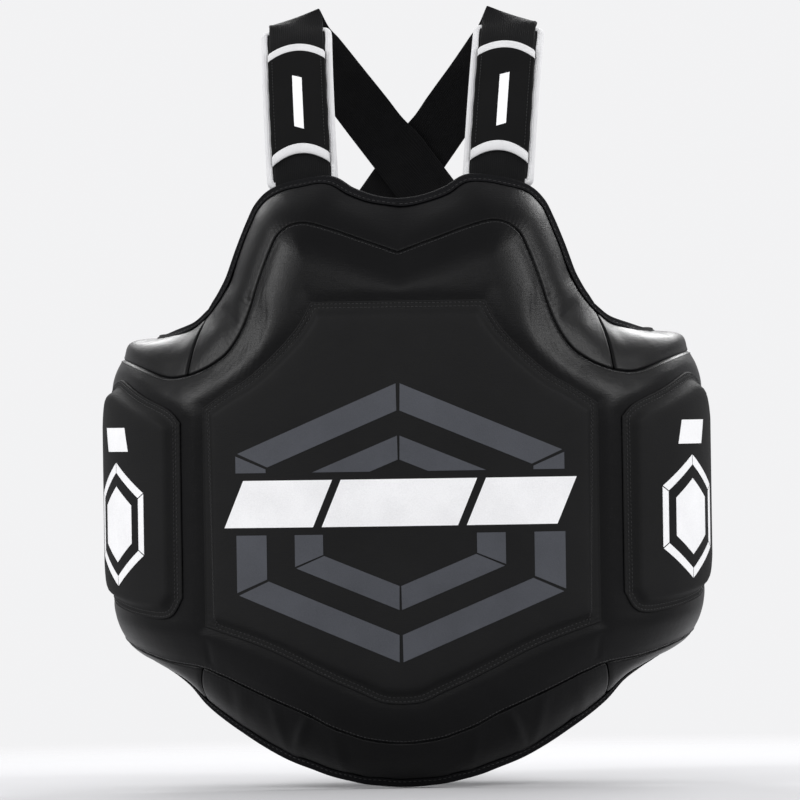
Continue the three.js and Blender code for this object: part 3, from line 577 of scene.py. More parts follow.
def stitches(path, normal, pitch, radius=0.42):
    """A run of thread along a line of points: short rounded stitches that dive at both ends."""
    lengths = lengths_to(path)
    count = max(1, int(lengths[-1] / pitch))
    middles = (np.arange(count) + 0.5) * lengths[-1] / count
    half = pitch * STITCH_SHARE / 2
    first, last = (points_at(places, path, lengths) for places in (middles - half, middles + half))
    up = unit(points_at(middles, normal, lengths))
    side = np.cross(unit(last - first), up)
    corners = []
    for t, thick, lift in THREAD_PROFILE:
        centre = mixed(first, last, t) + up * radius * lift
        for corner in range(THREAD_CORNERS):
            angle = 2 * math.pi * corner / THREAD_CORNERS
            spoke = math.cos(angle) * side + math.sin(angle) * up
            corners.append(centre + spoke * radius * thick)
    base = np.arange(len(corners)).reshape(-1, THREAD_CORNERS)
    turned = np.roll(base, -1, 1)
    ends = (base[0, ::-1], base[-1])
    caps = np.array([end[[0, a, a + 1, a + 2]] for end in ends for a in (1, 3)])
    faces = np.concatenate([quads(base[:-1], turned[:-1], turned[1:], base[1:]), caps])
    shifted = faces[None] + (np.arange(count) * base.size)[:, None, None]
    return np.stack(corners, 1).reshape(-1, 3), shifted.reshape(-1, 4)


def joined(*shapes):
    """Several shapes as one."""
    points, faces, begin = [], [], 0
    for p, f in shapes:
        points.append(p)
        faces.append(f + begin)
        begin += len(p)
    return np.concatenate(points), np.concatenate(faces)


def depth_line(s, z, depth):
    """Points and normals along a line on the shell, where depth(s, z) is the surface."""
    points = on_shell(s, z, depth(s, z))
    a = on_shell(s + 0.5, z, depth(s + 0.5, z)) - on_shell(s - 0.5, z, depth(s - 0.5, z))
    b = on_shell(s, z + 0.5, depth(s, z + 0.5)) - on_shell(s, z - 0.5, depth(s, z - 0.5))
    return points, unit(np.cross(a, b))


# ---- Shell covers ----

WING_CROWDING = 1.7
SEAM_GAP = 0.004  # what a cover leaves free at a seam, as a step of k or f
STITCH_INSET = 2.0


def signed_columns(front, wing):
    """Places across the whole shell as signed k, crowded towards the rear ends of the wings."""
    t = np.linspace(0, 1, wing + 1)[1:]
    half = np.concatenate([np.linspace(0, 1, front + 1), 1 + 1 - (1 - t) ** WING_CROWDING])
    return np.concatenate([-half[:0:-1], half])


def shell_place(k, v, f):
    """A place (s, z) of the shell between its borders, v up from the lower one."""
    p = mixed(bottom_border(np.abs(k), f), top_border(np.abs(k), f), v[..., None])
    return np.sign(k + 1e-12) * p[..., 0], p[..., 1]


def make_face():
    """The front cover, puffed up between its seam and the gel panels, and its stitch rows."""
    def place(u, v):
        s, z = shell_place(4 * u - 2, v, SEAM_GAP)
        return on_shell(s, z, cover_depth(s, z))

    def held(u, v):
        s, z = shell_place(4 * u - 2, v, SEAM_GAP)
        gap, _ = line_distance(flat(np.abs(s), z), FACE_SEAM)
        inset = np.maximum(centre_panel.inset(s, z)[0], side_panel.inset(np.abs(s), z)[0])
        return np.maximum(1 - smooth(gap, 2, 9), smooth(inset, -10, -2))

    shift = simulated("face_cloth", place, 112, 52, held, pressure=3.0, growth=0.003, cap=1.2)
    k, v = np.meshgrid(signed_columns(96, 44), eased(116))
    s, z = shell_place(k, v, SEAM_GAP)
    depth = cover_depth(s, z)
    moved = shift((k + 2) / 4, v)
    shape = slab(on_shell(s, z, depth) + moved, on_shell(s, z, depth - SKIN) + moved)
    add("face_leather", shape, "gloss_leather", nodes=["front_face_cover"], fill=1)

    k = np.linspace(-1.97, 1.97, 700)
    upper, lower = top_border(np.abs(k), 0), bottom_border(np.abs(k), 0)
    for name, seam, other in (("upper", upper, lower), ("lower", lower, upper)):
        across = left_of(np.gradient(seam, axis=0) * np.sign(k)[:, None])
        towards = np.sign((across * (other - seam)).sum(-1, keepdims=True))
        p = seam + across * towards * STITCH_INSET
        line = depth_line(np.sign(k) * p[:, 0], p[:, 1], lambda s, z: cover_depth(s, z) + 0.1)
        add(f"face_stitching_{name}", stitches(*line, pitch=3.4, radius=0.36), "black_thread")


# ---- Walls ----

WALL_FROM, WALL_TO = 0.012, 0.985  # how close a wall comes to its seam and to its edge, as f
WALL_SKIN = 2.2
WALL_ROWS, WALL_CLOTH_ROWS = 26, 8
FRONT_RUN, WING_RUN = 300, 151  # rough length of a border over one step of k
HELD_RUN, HELD_HALF = 200, 8  # the same for the cloth that is held at a wall's ends
LEAST_WIDTH = 30
EDGE_DIP, EDGE_DIP_HALF = 1.2, 5
END_DIP, END_DIP_HALF = 1.8, 1.5
SEAM_PUCKER_REACH, EDGE_PUCKER_REACH = 6, 7
WING_END_HEIGHT, WING_END_PUFF, WING_END_DIP_HALF = 190, 1.5, 3
FOLDS = [  # belly wrinkles: place k, half width, slant across the wall, height
    (0.12, 0.05, 0.05, 0.8), (0.34, 0.04, -0.06, 1.1), (0.585, 0.022, 0.09, 2.4),
    (0.68, 0.028, -0.04, 1.2), (0.86, 0.03, 0.05, 1.1),
]
LEFT_FOLDS_AT = 0.94  # the left-hand wrinkles lie closer to the middle than the right-hand ones


def wall_grid(line, k, f, upright_ends, folds, swell):
    """Places (s, z, depth) of a wall's skin at places k along a border and f across it."""
    seam = line(np.abs(k), 0)
    p = line(np.abs(k), f)
    arch = np.sin(np.pi * np.clip(f, 0, 1))
    width = np.maximum(np.linalg.norm(line(np.abs(k), 1) - seam, axis=-1), LEAST_WIDTH)
    from_seam, from_edge = f * width, (1 - f) * width
    depth = wall_depth(seam[..., 0], f) - SEAM_DIP * bump_at(from_seam, 0, SEAM_HALF)
    depth = depth - EDGE_DIP * bump_at(from_edge, 0, EDGE_DIP_HALF)
    for end in upright_ends:
        along = np.abs(np.abs(k) - end) * np.where(np.abs(k) > 1, WING_RUN, FRONT_RUN)
        depth = depth - END_DIP * bump_at(along, 0, END_DIP_HALF)
    pucker = np.sin(np.abs(k) * FRONT_RUN * 2 * np.pi / PUCKER_PITCH)
    reach = np.exp(-from_seam / SEAM_PUCKER_REACH) + np.exp(-from_edge / EDGE_PUCKER_REACH)
    depth = depth - PUCKER * pucker * reach
    for at, half, slant, height in FOLDS:
        for sign, inwards in ((1, 1), (-1, LEFT_FOLDS_AT)):
            shape = bump_at(k - slant * (f - 0.5) * sign, at * sign * inwards, half)
            depth = depth + folds * height * shape * arch ** 0.7
    full = swell * arch ** 2 * smooth(k, 1, 1.5) * (1 - smooth(k, 1.55, 2))
    return np.sign(k + 1e-12) * p[..., 0], p[..., 1] + full, depth + full


def make_wall(name, node, line, low, high, puff=2.0, folds=0.0, swell=0.0):
    """A wall along a border from k = low to high: one piece across the middle, or a pair."""
    whole = low < 0
    columns, cloth_columns, ends = (300, 110, [1]) if whole else (90, 30, [1, 2])

    def place(u, v, skin=0.0):
        k, f = mixed(low, high, u), mixed(WALL_FROM, WALL_TO, v)
        s, z, depth = wall_grid(line, k, f, ends, folds, swell)
        return on_shell(s, z, depth - skin)

    def held(u, v):
        k = np.abs(mixed(low, high, u))
        at_end = sum(bump_at((k - end) * HELD_RUN, 0, HELD_HALF) for end in ends)
        return np.maximum(bump_at(v, 0, 0.1) + bump_at(v, 1, 0.1), at_end)

    # The pressure pushes a sheet along its normals, so the sheet is laid to face outwards.
    middle = place(0.5, 0.5)
    normal = np.cross(place(0.51, 0.5) - middle, place(0.5, 0.51) - middle)
    flipped = np.dot(normal, middle - place(0.5, 0.5, 5)) < 0

    def facing(u):
        return 1 - u if flipped else u

    shift = simulated(
        f"{name}_cloth", lambda u, v: place(facing(u), v), cloth_columns, WALL_CLOTH_ROWS,
        lambda u, v: held(facing(u), v), pressure=4.0, growth=0.003, cap=puff,
    )
    u, v = np.meshgrid(np.linspace(0, 1, columns + 1), eased(WALL_ROWS))
    moved = shift(facing(u), v)
    shape = slab(place(u, v) + moved, place(u, v, WALL_SKIN) + moved)
    if whole:
        add(name, shape, "gloss_leather", nodes=[node], fill=1)
    else:
        add_pair(name, shape, "gloss_leather", node=node, fill=1)


def make_walls():
    """The walls of leather between the face seam and the bound edge, and the wings' rear ends."""
    front, wing = (SEAM_GAP - 1, 1 - SEAM_GAP), (1 + SEAM_GAP, 2 - SEAM_GAP)
    make_wall("chest_wall", "chest_wall_cover", top_border, *front, puff=1.5)
    make_wall("belly_wall", "belly_wall_cover", bottom_border, *front, folds=1.0)
    make_wall("wing_top", "wing_top_wall", top_border, *wing, swell=5.5)
    make_wall("wing_bottom", "wing_bottom_wall", bottom_border, *wing)

    f, v = np.meshgrid(mixed(0.02, WALL_TO, eased(16)), mixed(0.006, 0.994, eased(70)))
    p = mixed(bottom_border(2, f), top_border(2, f), v[..., None])
    depth = wall_depth(bottom_border(2, 0)[..., 0], f)
    depth = depth + WING_END_PUFF * np.sin(np.pi * v) * np.sin(np.pi * f)
    from_ends = (v * WING_END_HEIGHT, (1 - v) * WING_END_HEIGHT)
    depth = depth - END_DIP * sum(bump_at(gap, 0, WING_END_DIP_HALF) for gap in from_ends)
    outer, inner = (on_shell(p[..., 0], p[..., 1], depth - skin) for skin in (0, WALL_SKIN))
    add_pair("wing_end", slab(outer, inner), "gloss_leather", node="wing_end_wall", fill=1)


# ---- Bound edge ----

RIM_STEPS = 860
BINDING_LEG, BINDING_WEB = 4.7, 2.0  # over the wall, and past the shell's edge
BINDING_TAPE, BINDING_GAP, BINDING_GIRTH = 1.2, 0.5, 22


def rim_line(count):
    """The seam and the edge all round the shell, evenly along the edge."""
    k = np.linspace(0, 2, 400)
    end = np.linspace(1, 0, 60)[1:-1, None]
    lines = []
    for f in (0, 1):
        rear = mixed(bottom_border(2, f), top_border(2, f), end)
        half = np.concatenate([top_border(k, f), rear, bottom_border(k[::-1], f)])
        lines.append(closed(np.concatenate([half, half[-2:0:-1] * (-1, 1)])))
    seam, edge = lines
    lengths = lengths_to(edge)
    even = np.linspace(0, lengths[-1], count, endpoint=False)
    return points_at(even, seam, lengths), points_at(even, edge, lengths), even


def binding_point(seam, edge, outward, out, depth_rule):
    """A corner of the binding's section, out beyond the edge, at a depth given by the wall's."""
    width = np.linalg.norm(seam - edge, axis=-1)
    f = 1 + np.minimum(0, out) / width
    p = mixed(edge, seam, (1 - f)[:, None]) + outward * np.maximum(0, out)[:, None]
    return on_shell(p[:, 0], p[:, 1], depth_rule(wall_depth(np.abs(seam[:, 0]), f)))


def make_edge_binding():
    """The tape folded round the whole edge, and the stitches that hold it."""
    seam, edge, even = rim_line(RIM_STEPS)
    outward = left_of(np.roll(edge, -3, 0) - np.roll(edge, 3, 0))
    for _ in range(3):
        outward = unit(np.roll(outward, 1, 0) + outward + np.roll(outward, -1, 0))
    wave = 0.25 * np.sin(even / 5.1) + 0.2 * np.sin(even / 13.7 + 1)  # hand-sewn, never quite even
    tape, gap = BINDING_TAPE, BINDING_GAP
    leg = BINDING_LEG + wave

    def corner(out, rule):
        return binding_point(seam, edge, outward, np.broadcast_to(out, even.shape), rule)

    def level(out, depth):
        return corner(out, lambda wall: np.full_like(wall, depth))

    front, back = EDGE_DEPTH + 2.4, -gap
    section = [corner(-leg, lambda w: w + gap + tape * 0.6), corner(-leg + 0.8, lambda w: w + gap + tape)]
    for t in (0.7, 0.4):
        section.append(corner(-leg * t, lambda w: w + gap + tape + 0.35 * math.sin(math.pi * t)))
    section.append(level(0.2, front + tape))
    for step in range(1, 8):
        angle = math.pi * step / 8
        depth = mixed(back - tape, front + tape, 0.5 + 0.5 * math.cos(angle))
        section.append(level(BINDING_WEB * math.sin(angle) ** 0.7 + 0.4, depth))
    section += [level(-leg * t, back - tape) for t in (0.3, 0.9, 1)]
    section += [level(-leg, back), level(0.1, back), level(0.4, mixed(back, front, 0.5))]
    section += [level(0.1, front), corner(-leg, lambda w: w + gap)]
    weave = weave_map(np.linspace(0, BINDING_GIRTH, len(section)), even[:, None])
    shape = ring(np.stack(section, 1))
    add("edge_binding_tape", shape, "black_tape", nodes=["edge_binding"], weave=weave)

    line = corner(-leg + 1.9, lambda w: w + gap + tape + 0.25)
    normal = unit(line - corner(-leg + 1.9, lambda w: w - 4))
    add("edge_binding_stitching", stitches(line, normal, pitch=4.6, radius=0.38), "black_thread")


# ---- Gel panels ----

def panel_grid(panel, columns, rows, inset=0.0):
    """Places (s, z) all over a gel panel, or over what lies inside an inset from its outline."""
    if panel is centre_panel:
        corner = panel.top[OUTLINE_STEPS - 1, 0]
        past = 1 - (1 - np.linspace(0, 1, columns)) ** 1.6
        half = np.concatenate([np.linspace(0, corner, 34)[:-1], mixed(corner, panel.last - inset, past)])
        s = np.concatenate([-half[:0:-1], half])
    else:
        s = mixed(panel.first + inset, panel.last - inset, eased(columns))
    low, high = panel.heights(s)
    s, v = np.meshgrid(s, eased(rows))
    return s, mixed(low + inset, high - inset, v)


def flange_line(panel, row):
    """A line at an even distance inside a panel's outline, as places (s, z)."""
    outline = panel.outline
    inward = left_of(np.roll(outline, -1, 0) - np.roll(outline, 1, 0))
    if panel.inset(*from_flat(outline + inward * 2).T)[0].mean() < 0:
        inward = -inward
    line = outline + inward * row
    gap, _ = line_distance(line, outline)
    line = closed(line[gap > row - 0.25])
    lengths = lengths_to(line)
    even = np.linspace(0, lengths[-1], int(lengths[-1] / 2))
    return from_flat(points_at(even, line, lengths)).T


def make_gel_panel(name, panel, columns, rows):
    """A panel's leather cover, the gel inside it, and the stitches on its flange."""
    def place(part, shape, look, node=None, fill=None):
        node = node and f"{name}_{node}"
        if panel is centre_panel:
            add(f"{name}_{part}", shape, look, nodes=[node] if node else (), fill=fill)
        else:
            add_pair(f"{name}_{part}", shape, look, node=node, fill=fill)

    s, z = panel_grid(panel, columns, rows)
    depth = gel_depth(panel, s, z)
    hem = np.clip(panel.inset(s, z)[0] / 3, 0, 1)
    cover = slab(on_shell(s, z, depth), on_shell(s, z, depth - mixed(0.5, GEL_SKIN - 0.1, hem)))
    place("leather", cover, "matte_leather", "cover", fill=1)
    s, z = panel_grid(panel, columns // 2, rows // 2, GEL_FLANGE + GEL_RAMP + 5)
    low = cover_depth(s, z) + GEL_LIFT + 1
    high = np.minimum(low + GEL_HEIGHT - GEL_SKIN - 2, gel_depth(panel, s, z) - GEL_SKIN - 0.8)
    core = slab(on_shell(s, z, high), on_shell(s, z, np.minimum(low, high - 0.4)))
    place("core", core, "shock_gel", "pad", fill=1)

    runs = []
    for row in FLANGE_ROWS:
        line = depth_line(*flange_line(panel, row), lambda s, z: gel_depth(panel, s, z) + 0.12)
        runs.append(stitches(*line, pitch=3.9))
    place("stitching", joined(*runs), "black_thread")


def from_flat(points):
    """Places (s, z) for points of the unrolled face."""
    return np.stack([from_face_length(points[..., 0]), points[..., 1]], -1)


# ---- Prints: plain shapes, a little raised ----

PRINT_LIFT, PRINT_THICK, PRINT_CELL = 0.06, 0.22, 4.0
HEXAGON_SHOULDER = 0.5  # height of the side corners, as a share of the hexagon's half height
MITRE = 0.012


def print_patch(panel, corners, to_s):
    """A four-cornered patch of ink that lies on a gel panel."""
    a, b, c, d = np.array(corners, float)
    columns = max(2, int(max(np.linalg.norm(b - a), np.linalg.norm(c - d)) / PRINT_CELL))
    rows = max(2, int(max(np.linalg.norm(d - a), np.linalg.norm(c - b)) / PRINT_CELL))
    u, v = np.meshgrid(np.linspace(0, 1, columns + 1), np.linspace(0, 1, rows + 1))
    p = mixed(mixed(a, b, u[..., None]), mixed(d, c, u[..., None]), v[..., None])
    s = np.sign(p[..., 0] + 1e-9) * to_s(np.abs(p[..., 0]))
    depth = gel_depth(panel, s, p[..., 1]) + PRINT_LIFT
    return slab(on_shell(s, p[..., 1], depth + PRINT_THICK), on_shell(s, p[..., 1], depth))


def hexagon(centre, half_width, half_height):
    """Corners of a hexagon that stands on a point."""
    x, z = centre
    side = half_height * HEXAGON_SHOULDER
    right = [(x, z + half_height), (x + half_width, z + side)]
    right += [(x + half_width, z - side), (x, z - half_height)]
    return right + [(2 * x - px, pz) for px, pz in right[2:0:-1]]


def hexagon_frame(outer, inner):
    """The sides of a hexagonal frame, each a four-cornered patch with mitred ends."""
    patches = []
    for i in range(6):
        a, b = np.array(outer[i]), np.array(outer[(i + 1) % 6])
        c, d = np.array(inner[(i + 1) % 6]), np.array(inner[i])
        sides = [mixed(a, b, MITRE), mixed(a, b, 1 - MITRE), mixed(d, c, 1 - MITRE), mixed(d, c, MITRE)]
        patches.append(sides)
    return patches


def make_prints():
    """Plain shapes in ink: frames and bars on the centre panel, a hexagon on each side panel."""
    def front(x):
        return arc_at(x, SHELL_DEPTH + GEL_HEIGHT)

    middle, above, below = (0, 243), 290, 233  # the grey frames leave a band free for the bars
    grey = []
    for half_width, half_height, inner_width, inner_height in ((150, 128, 122, 103), (96, 80, 70, 58)):
        outer = hexagon(middle, half_width, half_height)
        for patch in hexagon_frame(outer, hexagon(middle, inner_width, inner_height)):
            grey += clipped(patch, above, below)
    shapes = [print_patch(centre_panel, patch, front) for patch in grey]
    add("centre_print_grey", joined(*shapes), "grey_ink")

    slant, low, high = 9, 240, 283
    shapes = []
    for x0, x1 in ((-152, -70), (-62, 62), (70, 152)):
        bar = [(x0 - slant, low), (x1 - slant, low), (x1 + slant, high), (x0 + slant, high)]
        shapes.append(print_patch(centre_panel, bar, front))
    add("centre_print_white", joined(*shapes), "white_ink")

    place = (233, 244)
    side = hexagon_frame(hexagon(place, 30, 57), hexagon(place, 25, 48))
    core = hexagon(place, 18, 35)
    side += [[core[0], core[1], core[2], core[5]], [core[5], core[2], core[3], core[4]]]
    side += [[(218, 311), (246, 311), (250, 333), (222, 333)]]
    shapes = [print_patch(side_panel, patch, lambda s: s) for patch in side]
    add_pair("side_print", joined(*shapes), "white_ink")


def clipped(patch, above, below):
    """What is left of a patch above one height and below another, each a patch of its own."""
    left = []
    for keep in (lambda z: z - above, lambda z: below - z):
        polygon = []
        for i, p in enumerate(patch):
            p, q = np.array(p, float), np.array(patch[(i + 1) % 4], float)
            if keep(p[1]) >= 0:
                polygon.append(p)
            if keep(p[1]) * keep(q[1]) < 0:
                polygon.append(mixed(p, q, keep(p[1]) / (keep(p[1]) - keep(q[1]))))
        if len(polygon) == 3:
            left.append([polygon[0], polygon[1], polygon[2], mixed(polygon[2], polygon[0], 0.5)])
        elif len(polygon) == 4:
            left.append(polygon)
        elif len(polygon) == 5:
            left.append(polygon[:4])
            left.append([polygon[0], polygon[3], mixed(polygon[3], polygon[4], 0.5), polygon[4]])
    return left


# ---- Inside the shell ----

FOAM_INSET = -0.09  # the foam's front face stays this far inside the face seam, as f
FOAM_CLEAR, FOAM_SLACK = 7, 0.04  # room left under the walls, in mm, and at the split, as f
LINING_EDGE = 0.965  # as f
LINING_CLOTH, LINING_CROWN = 1.8, 0.9
LINING_CHANNELS = (62, 150, 236)  # upright sewn lines on the lining, by distance round the body
CHANNEL_TOPS, CHANNEL_FOOT = (535, 475, 400), 130
CHANNEL_DEPTH, CHANNEL_HALF = 1.1, 4.5


def foam_reach(depth, s):
    """How far across the walls the foam reaches at a depth, as f."""
    room = seam_depth(s) - FOAM_CLEAR - depth
    return np.clip(room / (seam_depth(s) - EDGE_DEPTH), FOAM_INSET, LINING_REACH)


def channel_dip(s, z):
    """1 on the lining's sewn lines, 0 between them."""
    lines = sum(bump_at(np.abs(s), line, CHANNEL_HALF) for line in LINING_CHANNELS)
    return lines * smooth(z, 60, 120)


def make_inside():
    """Two foam layers, and the lining with its sewn channels."""
    k, v = np.meshgrid(signed_columns(36, 18), eased(36))
    seam_s = top_border(np.abs(k), 0)[..., 0]

    def layer(reach, depth_rule):
        s, z = shell_place(k, v, reach)
        return on_shell(s, z, depth_rule(s, z))

    def split(depth):
        return layer(foam_reach(depth, seam_s) - FOAM_SLACK, lambda s, z: depth)

    front = slab(layer(FOAM_INSET, lambda s, z: face_depth(s, z) - SKIN - 5), split(FOAM_SPLIT + 1))
    rear = slab(split(FOAM_SPLIT), layer(LINING_REACH - 0.03, lambda s, z: LINING + 2))
    add("foam_front", front, "impact_foam", nodes=["impact_foam_front"], fill=1)
    add("foam_rear", rear, "impact_foam", nodes=["impact_foam_rear"], fill=1)

    k, v = np.meshgrid(signed_columns(90, 44), eased(110))
    s, z = shell_place(k, v, LINING_EDGE)
    channels = channel_dip(s, z)
    depth = CHANNEL_DEPTH * channels - LINING_CROWN * (1 - channels)
    shape = slab(on_shell(s, z, depth + LINING_CLOTH), on_shell(s, z, depth))
    weave = weave_map(face_length(s), z, skins=2)
    add("back_lining_fabric", shape, "lining_fabric", nodes=["back_lining"], weave=weave, fill=0.3)
    runs = []
    for at, top in zip(LINING_CHANNELS, CHANNEL_TOPS):
        for _, side in SIDES:
            z = np.linspace(CHANNEL_FOOT, top, 120)
            s = np.full_like(z, side * at)
            points, normal = depth_line(s, z, lambda s, z: 0 * s + CHANNEL_DEPTH - 0.15)
            runs.append(stitches(points, -normal, pitch=4.4))
    add("lining_stitching", joined(*runs), "black_thread")


# ---- Straps ----

WEBBING_HALF, WEBBING = 25, 1.5
ANCHOR_X, ANCHOR_Z, ANCHOR_DEPTH = 90, 553, -10
STRAP_LEAN, STRAP_START, STRAP_END = math.radians(3.6), math.radians(16), math.radians(55)
STRAP_RADIUS = 285
FOLD, FOLD_TILT = (101.5, 31, 712.4), math.radians(20)
FOLD_LEAD_ANGLE, FOLD_LEAD_RUN = math.radians(50), 18
CROSSING_Z, DESCENT = 573, math.radians(53.5)
REAR_START, REAR_STEP = -158, 19.5  # the rear run's stations, by distance from the crossing
# Over these distances the lift at the crossing, the ring and the free fold let go of the strap.
CROSSING_GONE, RING_NEAR, BACK_REACHED = (55, 125), (12, 60), (-110, -50)
SEWN_STATIONS = [(43, -3, 1), (29, -4.4, 0.8), (15, -6.5, 0.45)]  # drop, depth, share of the twist
FOLD_PLACES = (0.33, 0.415, 0.5, 0.58, 0.66)
TAB_STATIONS = [(388, -5.4), (360, -5.2), (338, -4.9), (322, -2.4), (310, 0.6)]  # distance, height
RING_AT, RING_REACH, RING_BAR, RING_DEPTH, LOOP_RADIUS = 293, 8, 2, 5, 4
RING_HALF, RING_CORNER = 28, 3.2
TAIL_ROOT, TAIL_BEND, TAIL_HEIGHT = 284, 12, RING_DEPTH + LOOP_RADIUS
PATCH_HALF, PATCH_FROM, LOOP_PILE, HOOK_PILE = 23, WEBBING / 2 + 1.0, 1.6, 1.4
STRIP_COLUMNS, STRIP_ROUND = 14, 1.0
QUARTERS = ((1, 1, 0), (-1, 1, 90), (-1, -1, 180), (1, -1, 270))  # corners: x, y, first angle

LEAN_UP = np.array([math.sin(STRAP_LEAN), 0, math.cos(STRAP_LEAN)])
LEAN_ACROSS = np.array([math.cos(STRAP_LEAN), 0, -math.sin(STRAP_LEAN)])
BACKWARDS = np.array([0, 1, 0])
STRAP_CENTRE = (
    on_shell(arc_at(ANCHOR_X, ANCHOR_DEPTH), ANCHOR_Z, ANCHOR_DEPTH)
    + BACKWARDS * STRAP_RADIUS * math.cos(STRAP_START)
    - LEAN_UP * STRAP_RADIUS * math.sin(STRAP_START)
)
RUN = np.array([-math.cos(DESCENT), -math.sin(DESCENT)])
RUN_ACROSS = np.array([math.sin(DESCENT), -math.cos(DESCENT)])


def spread(values, vector):
    return np.asarray(values, float)[..., None] * vector


def over_shoulder(angle, across, lift):
    """A point over the front of the shoulder: angle round the strap's arc, place across, lift."""
    angle, across, lift = together(angle, across, lift)
    radius = STRAP_RADIUS + lift
    arc = spread(-radius * np.cos(angle), BACKWARDS) + spread(radius * np.sin(angle), LEAN_UP)
    return STRAP_CENTRE + arc + spread(across, LEAN_ACROSS)


def flat_section(centre, across, normal):
    """A straight section of a band: the point at q across it and a lift off its middle."""
    return lambda q, lift: centre + spread(q, across) + spread(lift, normal)


def rear_pattern(d, q):
    """The place (w, z) on the back that is d along the strap's rear run and q across it."""
    return RUN[0] * d + RUN_ACROSS[0] * q, CROSSING_Z + RUN[1] * d + RUN_ACROSS[1] * q


def rear_frame(d):
    """Centre, across, normal and along of the strap's rear run, at a distance from the crossing."""
    w, z = rear_pattern(d, 0)
    centre = back_surface(w, z)
    normal = unit(on_back(w, z, 1) - centre)
    along = back_surface(*rear_pattern(d + 1, 0)) - back_surface(*rear_pattern(d - 1, 0))
    across = unit(np.cross(along, normal))
    return centre, across, normal, np.cross(normal, across)


RING_CENTRE, RING_ACROSS, RING_NORMAL, RING_ALONG = rear_frame(RING_AT)
RING_CENTRE = RING_CENTRE + RING_NORMAL * RING_DEPTH


def rear_section(d, height):
    """The webbing is flat over the shoulder and at the ring, and hugs the back between them."""
    centre, across, normal, _ = rear_frame(d)
    if d < 0:
        flat_one = flat_section(centre + normal * height, across, normal)
    else:
        at_ring = RING_CENTRE + RING_ALONG * (d - RING_AT) + RING_NORMAL * (height - RING_DEPTH)
        flat_one = flat_section(at_ring, RING_ACROSS, RING_NORMAL)
    hug = float(smooth(abs(d - RING_AT), *RING_NEAR) * smooth(d, *BACK_REACHED))
    return lambda q, lift: mixed(flat_one(q, lift), on_back(*rear_pattern(d, q), height + lift), hug)


def turn_round_bar(direction):
    """The half turn of a band round one of the ring's bars."""
    bar = RING_CENTRE - RING_ALONG * direction * RING_REACH
    sections = []
    for angle in np.linspace(0, math.pi, 10):
        inward = RING_NORMAL * math.cos(angle) - RING_ALONG * direction * math.sin(angle)
        sections.append(flat_section(bar - inward * LOOP_RADIUS, RING_ACROSS * direction, inward))
    return sections


def sewn_sections():
    """The part of the webbing that is sewn to the lining."""
    _, _, nx, _ = plan_at(arc_at(ANCHOR_X, ANCHOR_DEPTH))
    sections = []
    for drop, depth, twist in SEWN_STATIONS:
        z, x = ANCHOR_Z - drop, ANCHOR_X - drop * math.tan(STRAP_LEAN)
        centre = on_shell(arc_at(x, depth), z, depth)
        turned = nx * twist
        level = math.cos(STRAP_START)
        normal = np.array([turned * level, -math.sqrt(1 - turned**2) * level, math.sin(STRAP_START)])
        sections.append(flat_section(centre, unit(np.cross(LEAN_UP, normal)), normal))
    return sections


def fold_sections():
    """The fold on top of the shoulder, where the strap turns towards the crossing."""
    landing, after = rear_frame(REAR_START), rear_frame(REAR_START + FOLD_LEAD_RUN)
    path = spline([
        over_shoulder(FOLD_LEAD_ANGLE, 0, 0), over_shoulder(STRAP_END, 0, 0), FOLD,
        landing[0] + landing[2] * WEBBING, after[0] + after[2] * WEBBING,
    ])
    across = spline([
        LEAN_ACROSS, LEAN_ACROSS, (math.cos(FOLD_TILT), 0, -math.sin(FOLD_TILT)), landing[1], after[1],
    ])
    sections = []
    for t in FOLD_PLACES:
        along = unit(path(np.array(t + 1e-3)) - path(np.array(t - 1e-3)))
        normal = unit(np.cross(across(np.array(t)), along))
        sections.append(flat_section(path(np.array(t)), np.cross(along, normal), normal))
    return sections


def refined(rows, gap):
    """Rows of points with more rows between them, on smooth curves, about gap apart."""
    steps = np.linalg.norm(np.diff(rows, axis=0), axis=-1).mean(axis=1)
    at = np.concatenate([[0], np.cumsum(steps)])
    slope = np.gradient(rows, at, axis=0)
    places = [
        np.linspace(start, stop, max(2, math.ceil(step / gap) + 1))[:-1]
        for start, stop, step in zip(at, at[1:], steps)
    ]
    places = np.concatenate([*places, at[-1:]])
    i = np.clip(np.searchsorted(at, places, side="right") - 1, 0, len(steps) - 1)
    h = (at[i + 1] - at[i])[:, None, None]
    t = ((places - at[i])[:, None, None]) / h
    a, b, p, q = rows[i], rows[i + 1], slope[i] * h, slope[i + 1] * h
    curve = (2 * t**3 - 3 * t**2 + 1) * a + (t**3 - 2 * t**2 + t) * p
    return curve + (3 * t**2 - 2 * t**3) * b + (t**3 - t**2) * q, places


def strip(sections, half, low, high, gap=4.0):
    """A closed band through sections, with rounded long edges; also its weave coordinates."""
    q = half * np.sin(np.linspace(-1, 1, STRIP_COLUMNS + 1) * math.pi / 2)
    middle, thick = (low + high) / 2, (high - low) / 2
    past = np.clip((np.abs(q) - half + STRIP_ROUND) / STRIP_ROUND, 0, 0.93)
    profile = np.sqrt(np.clip(1 - past ** 2, 0, 1))
    outer = np.array([section(q, middle + thick * profile) for section in sections])
    inner = np.array([section(q, middle - thick * profile) for section in sections])
    rows, places = refined(np.concatenate([outer, inner], axis=1), gap)
    weave = weave_map(*np.meshgrid(q, places), skins=2)
    return slab(rows[:, : len(q)], rows[:, len(q):]), weave


def rear_stops(first, last):
    return [REAR_START + n * REAR_STEP for n in range(first, last + 1)]


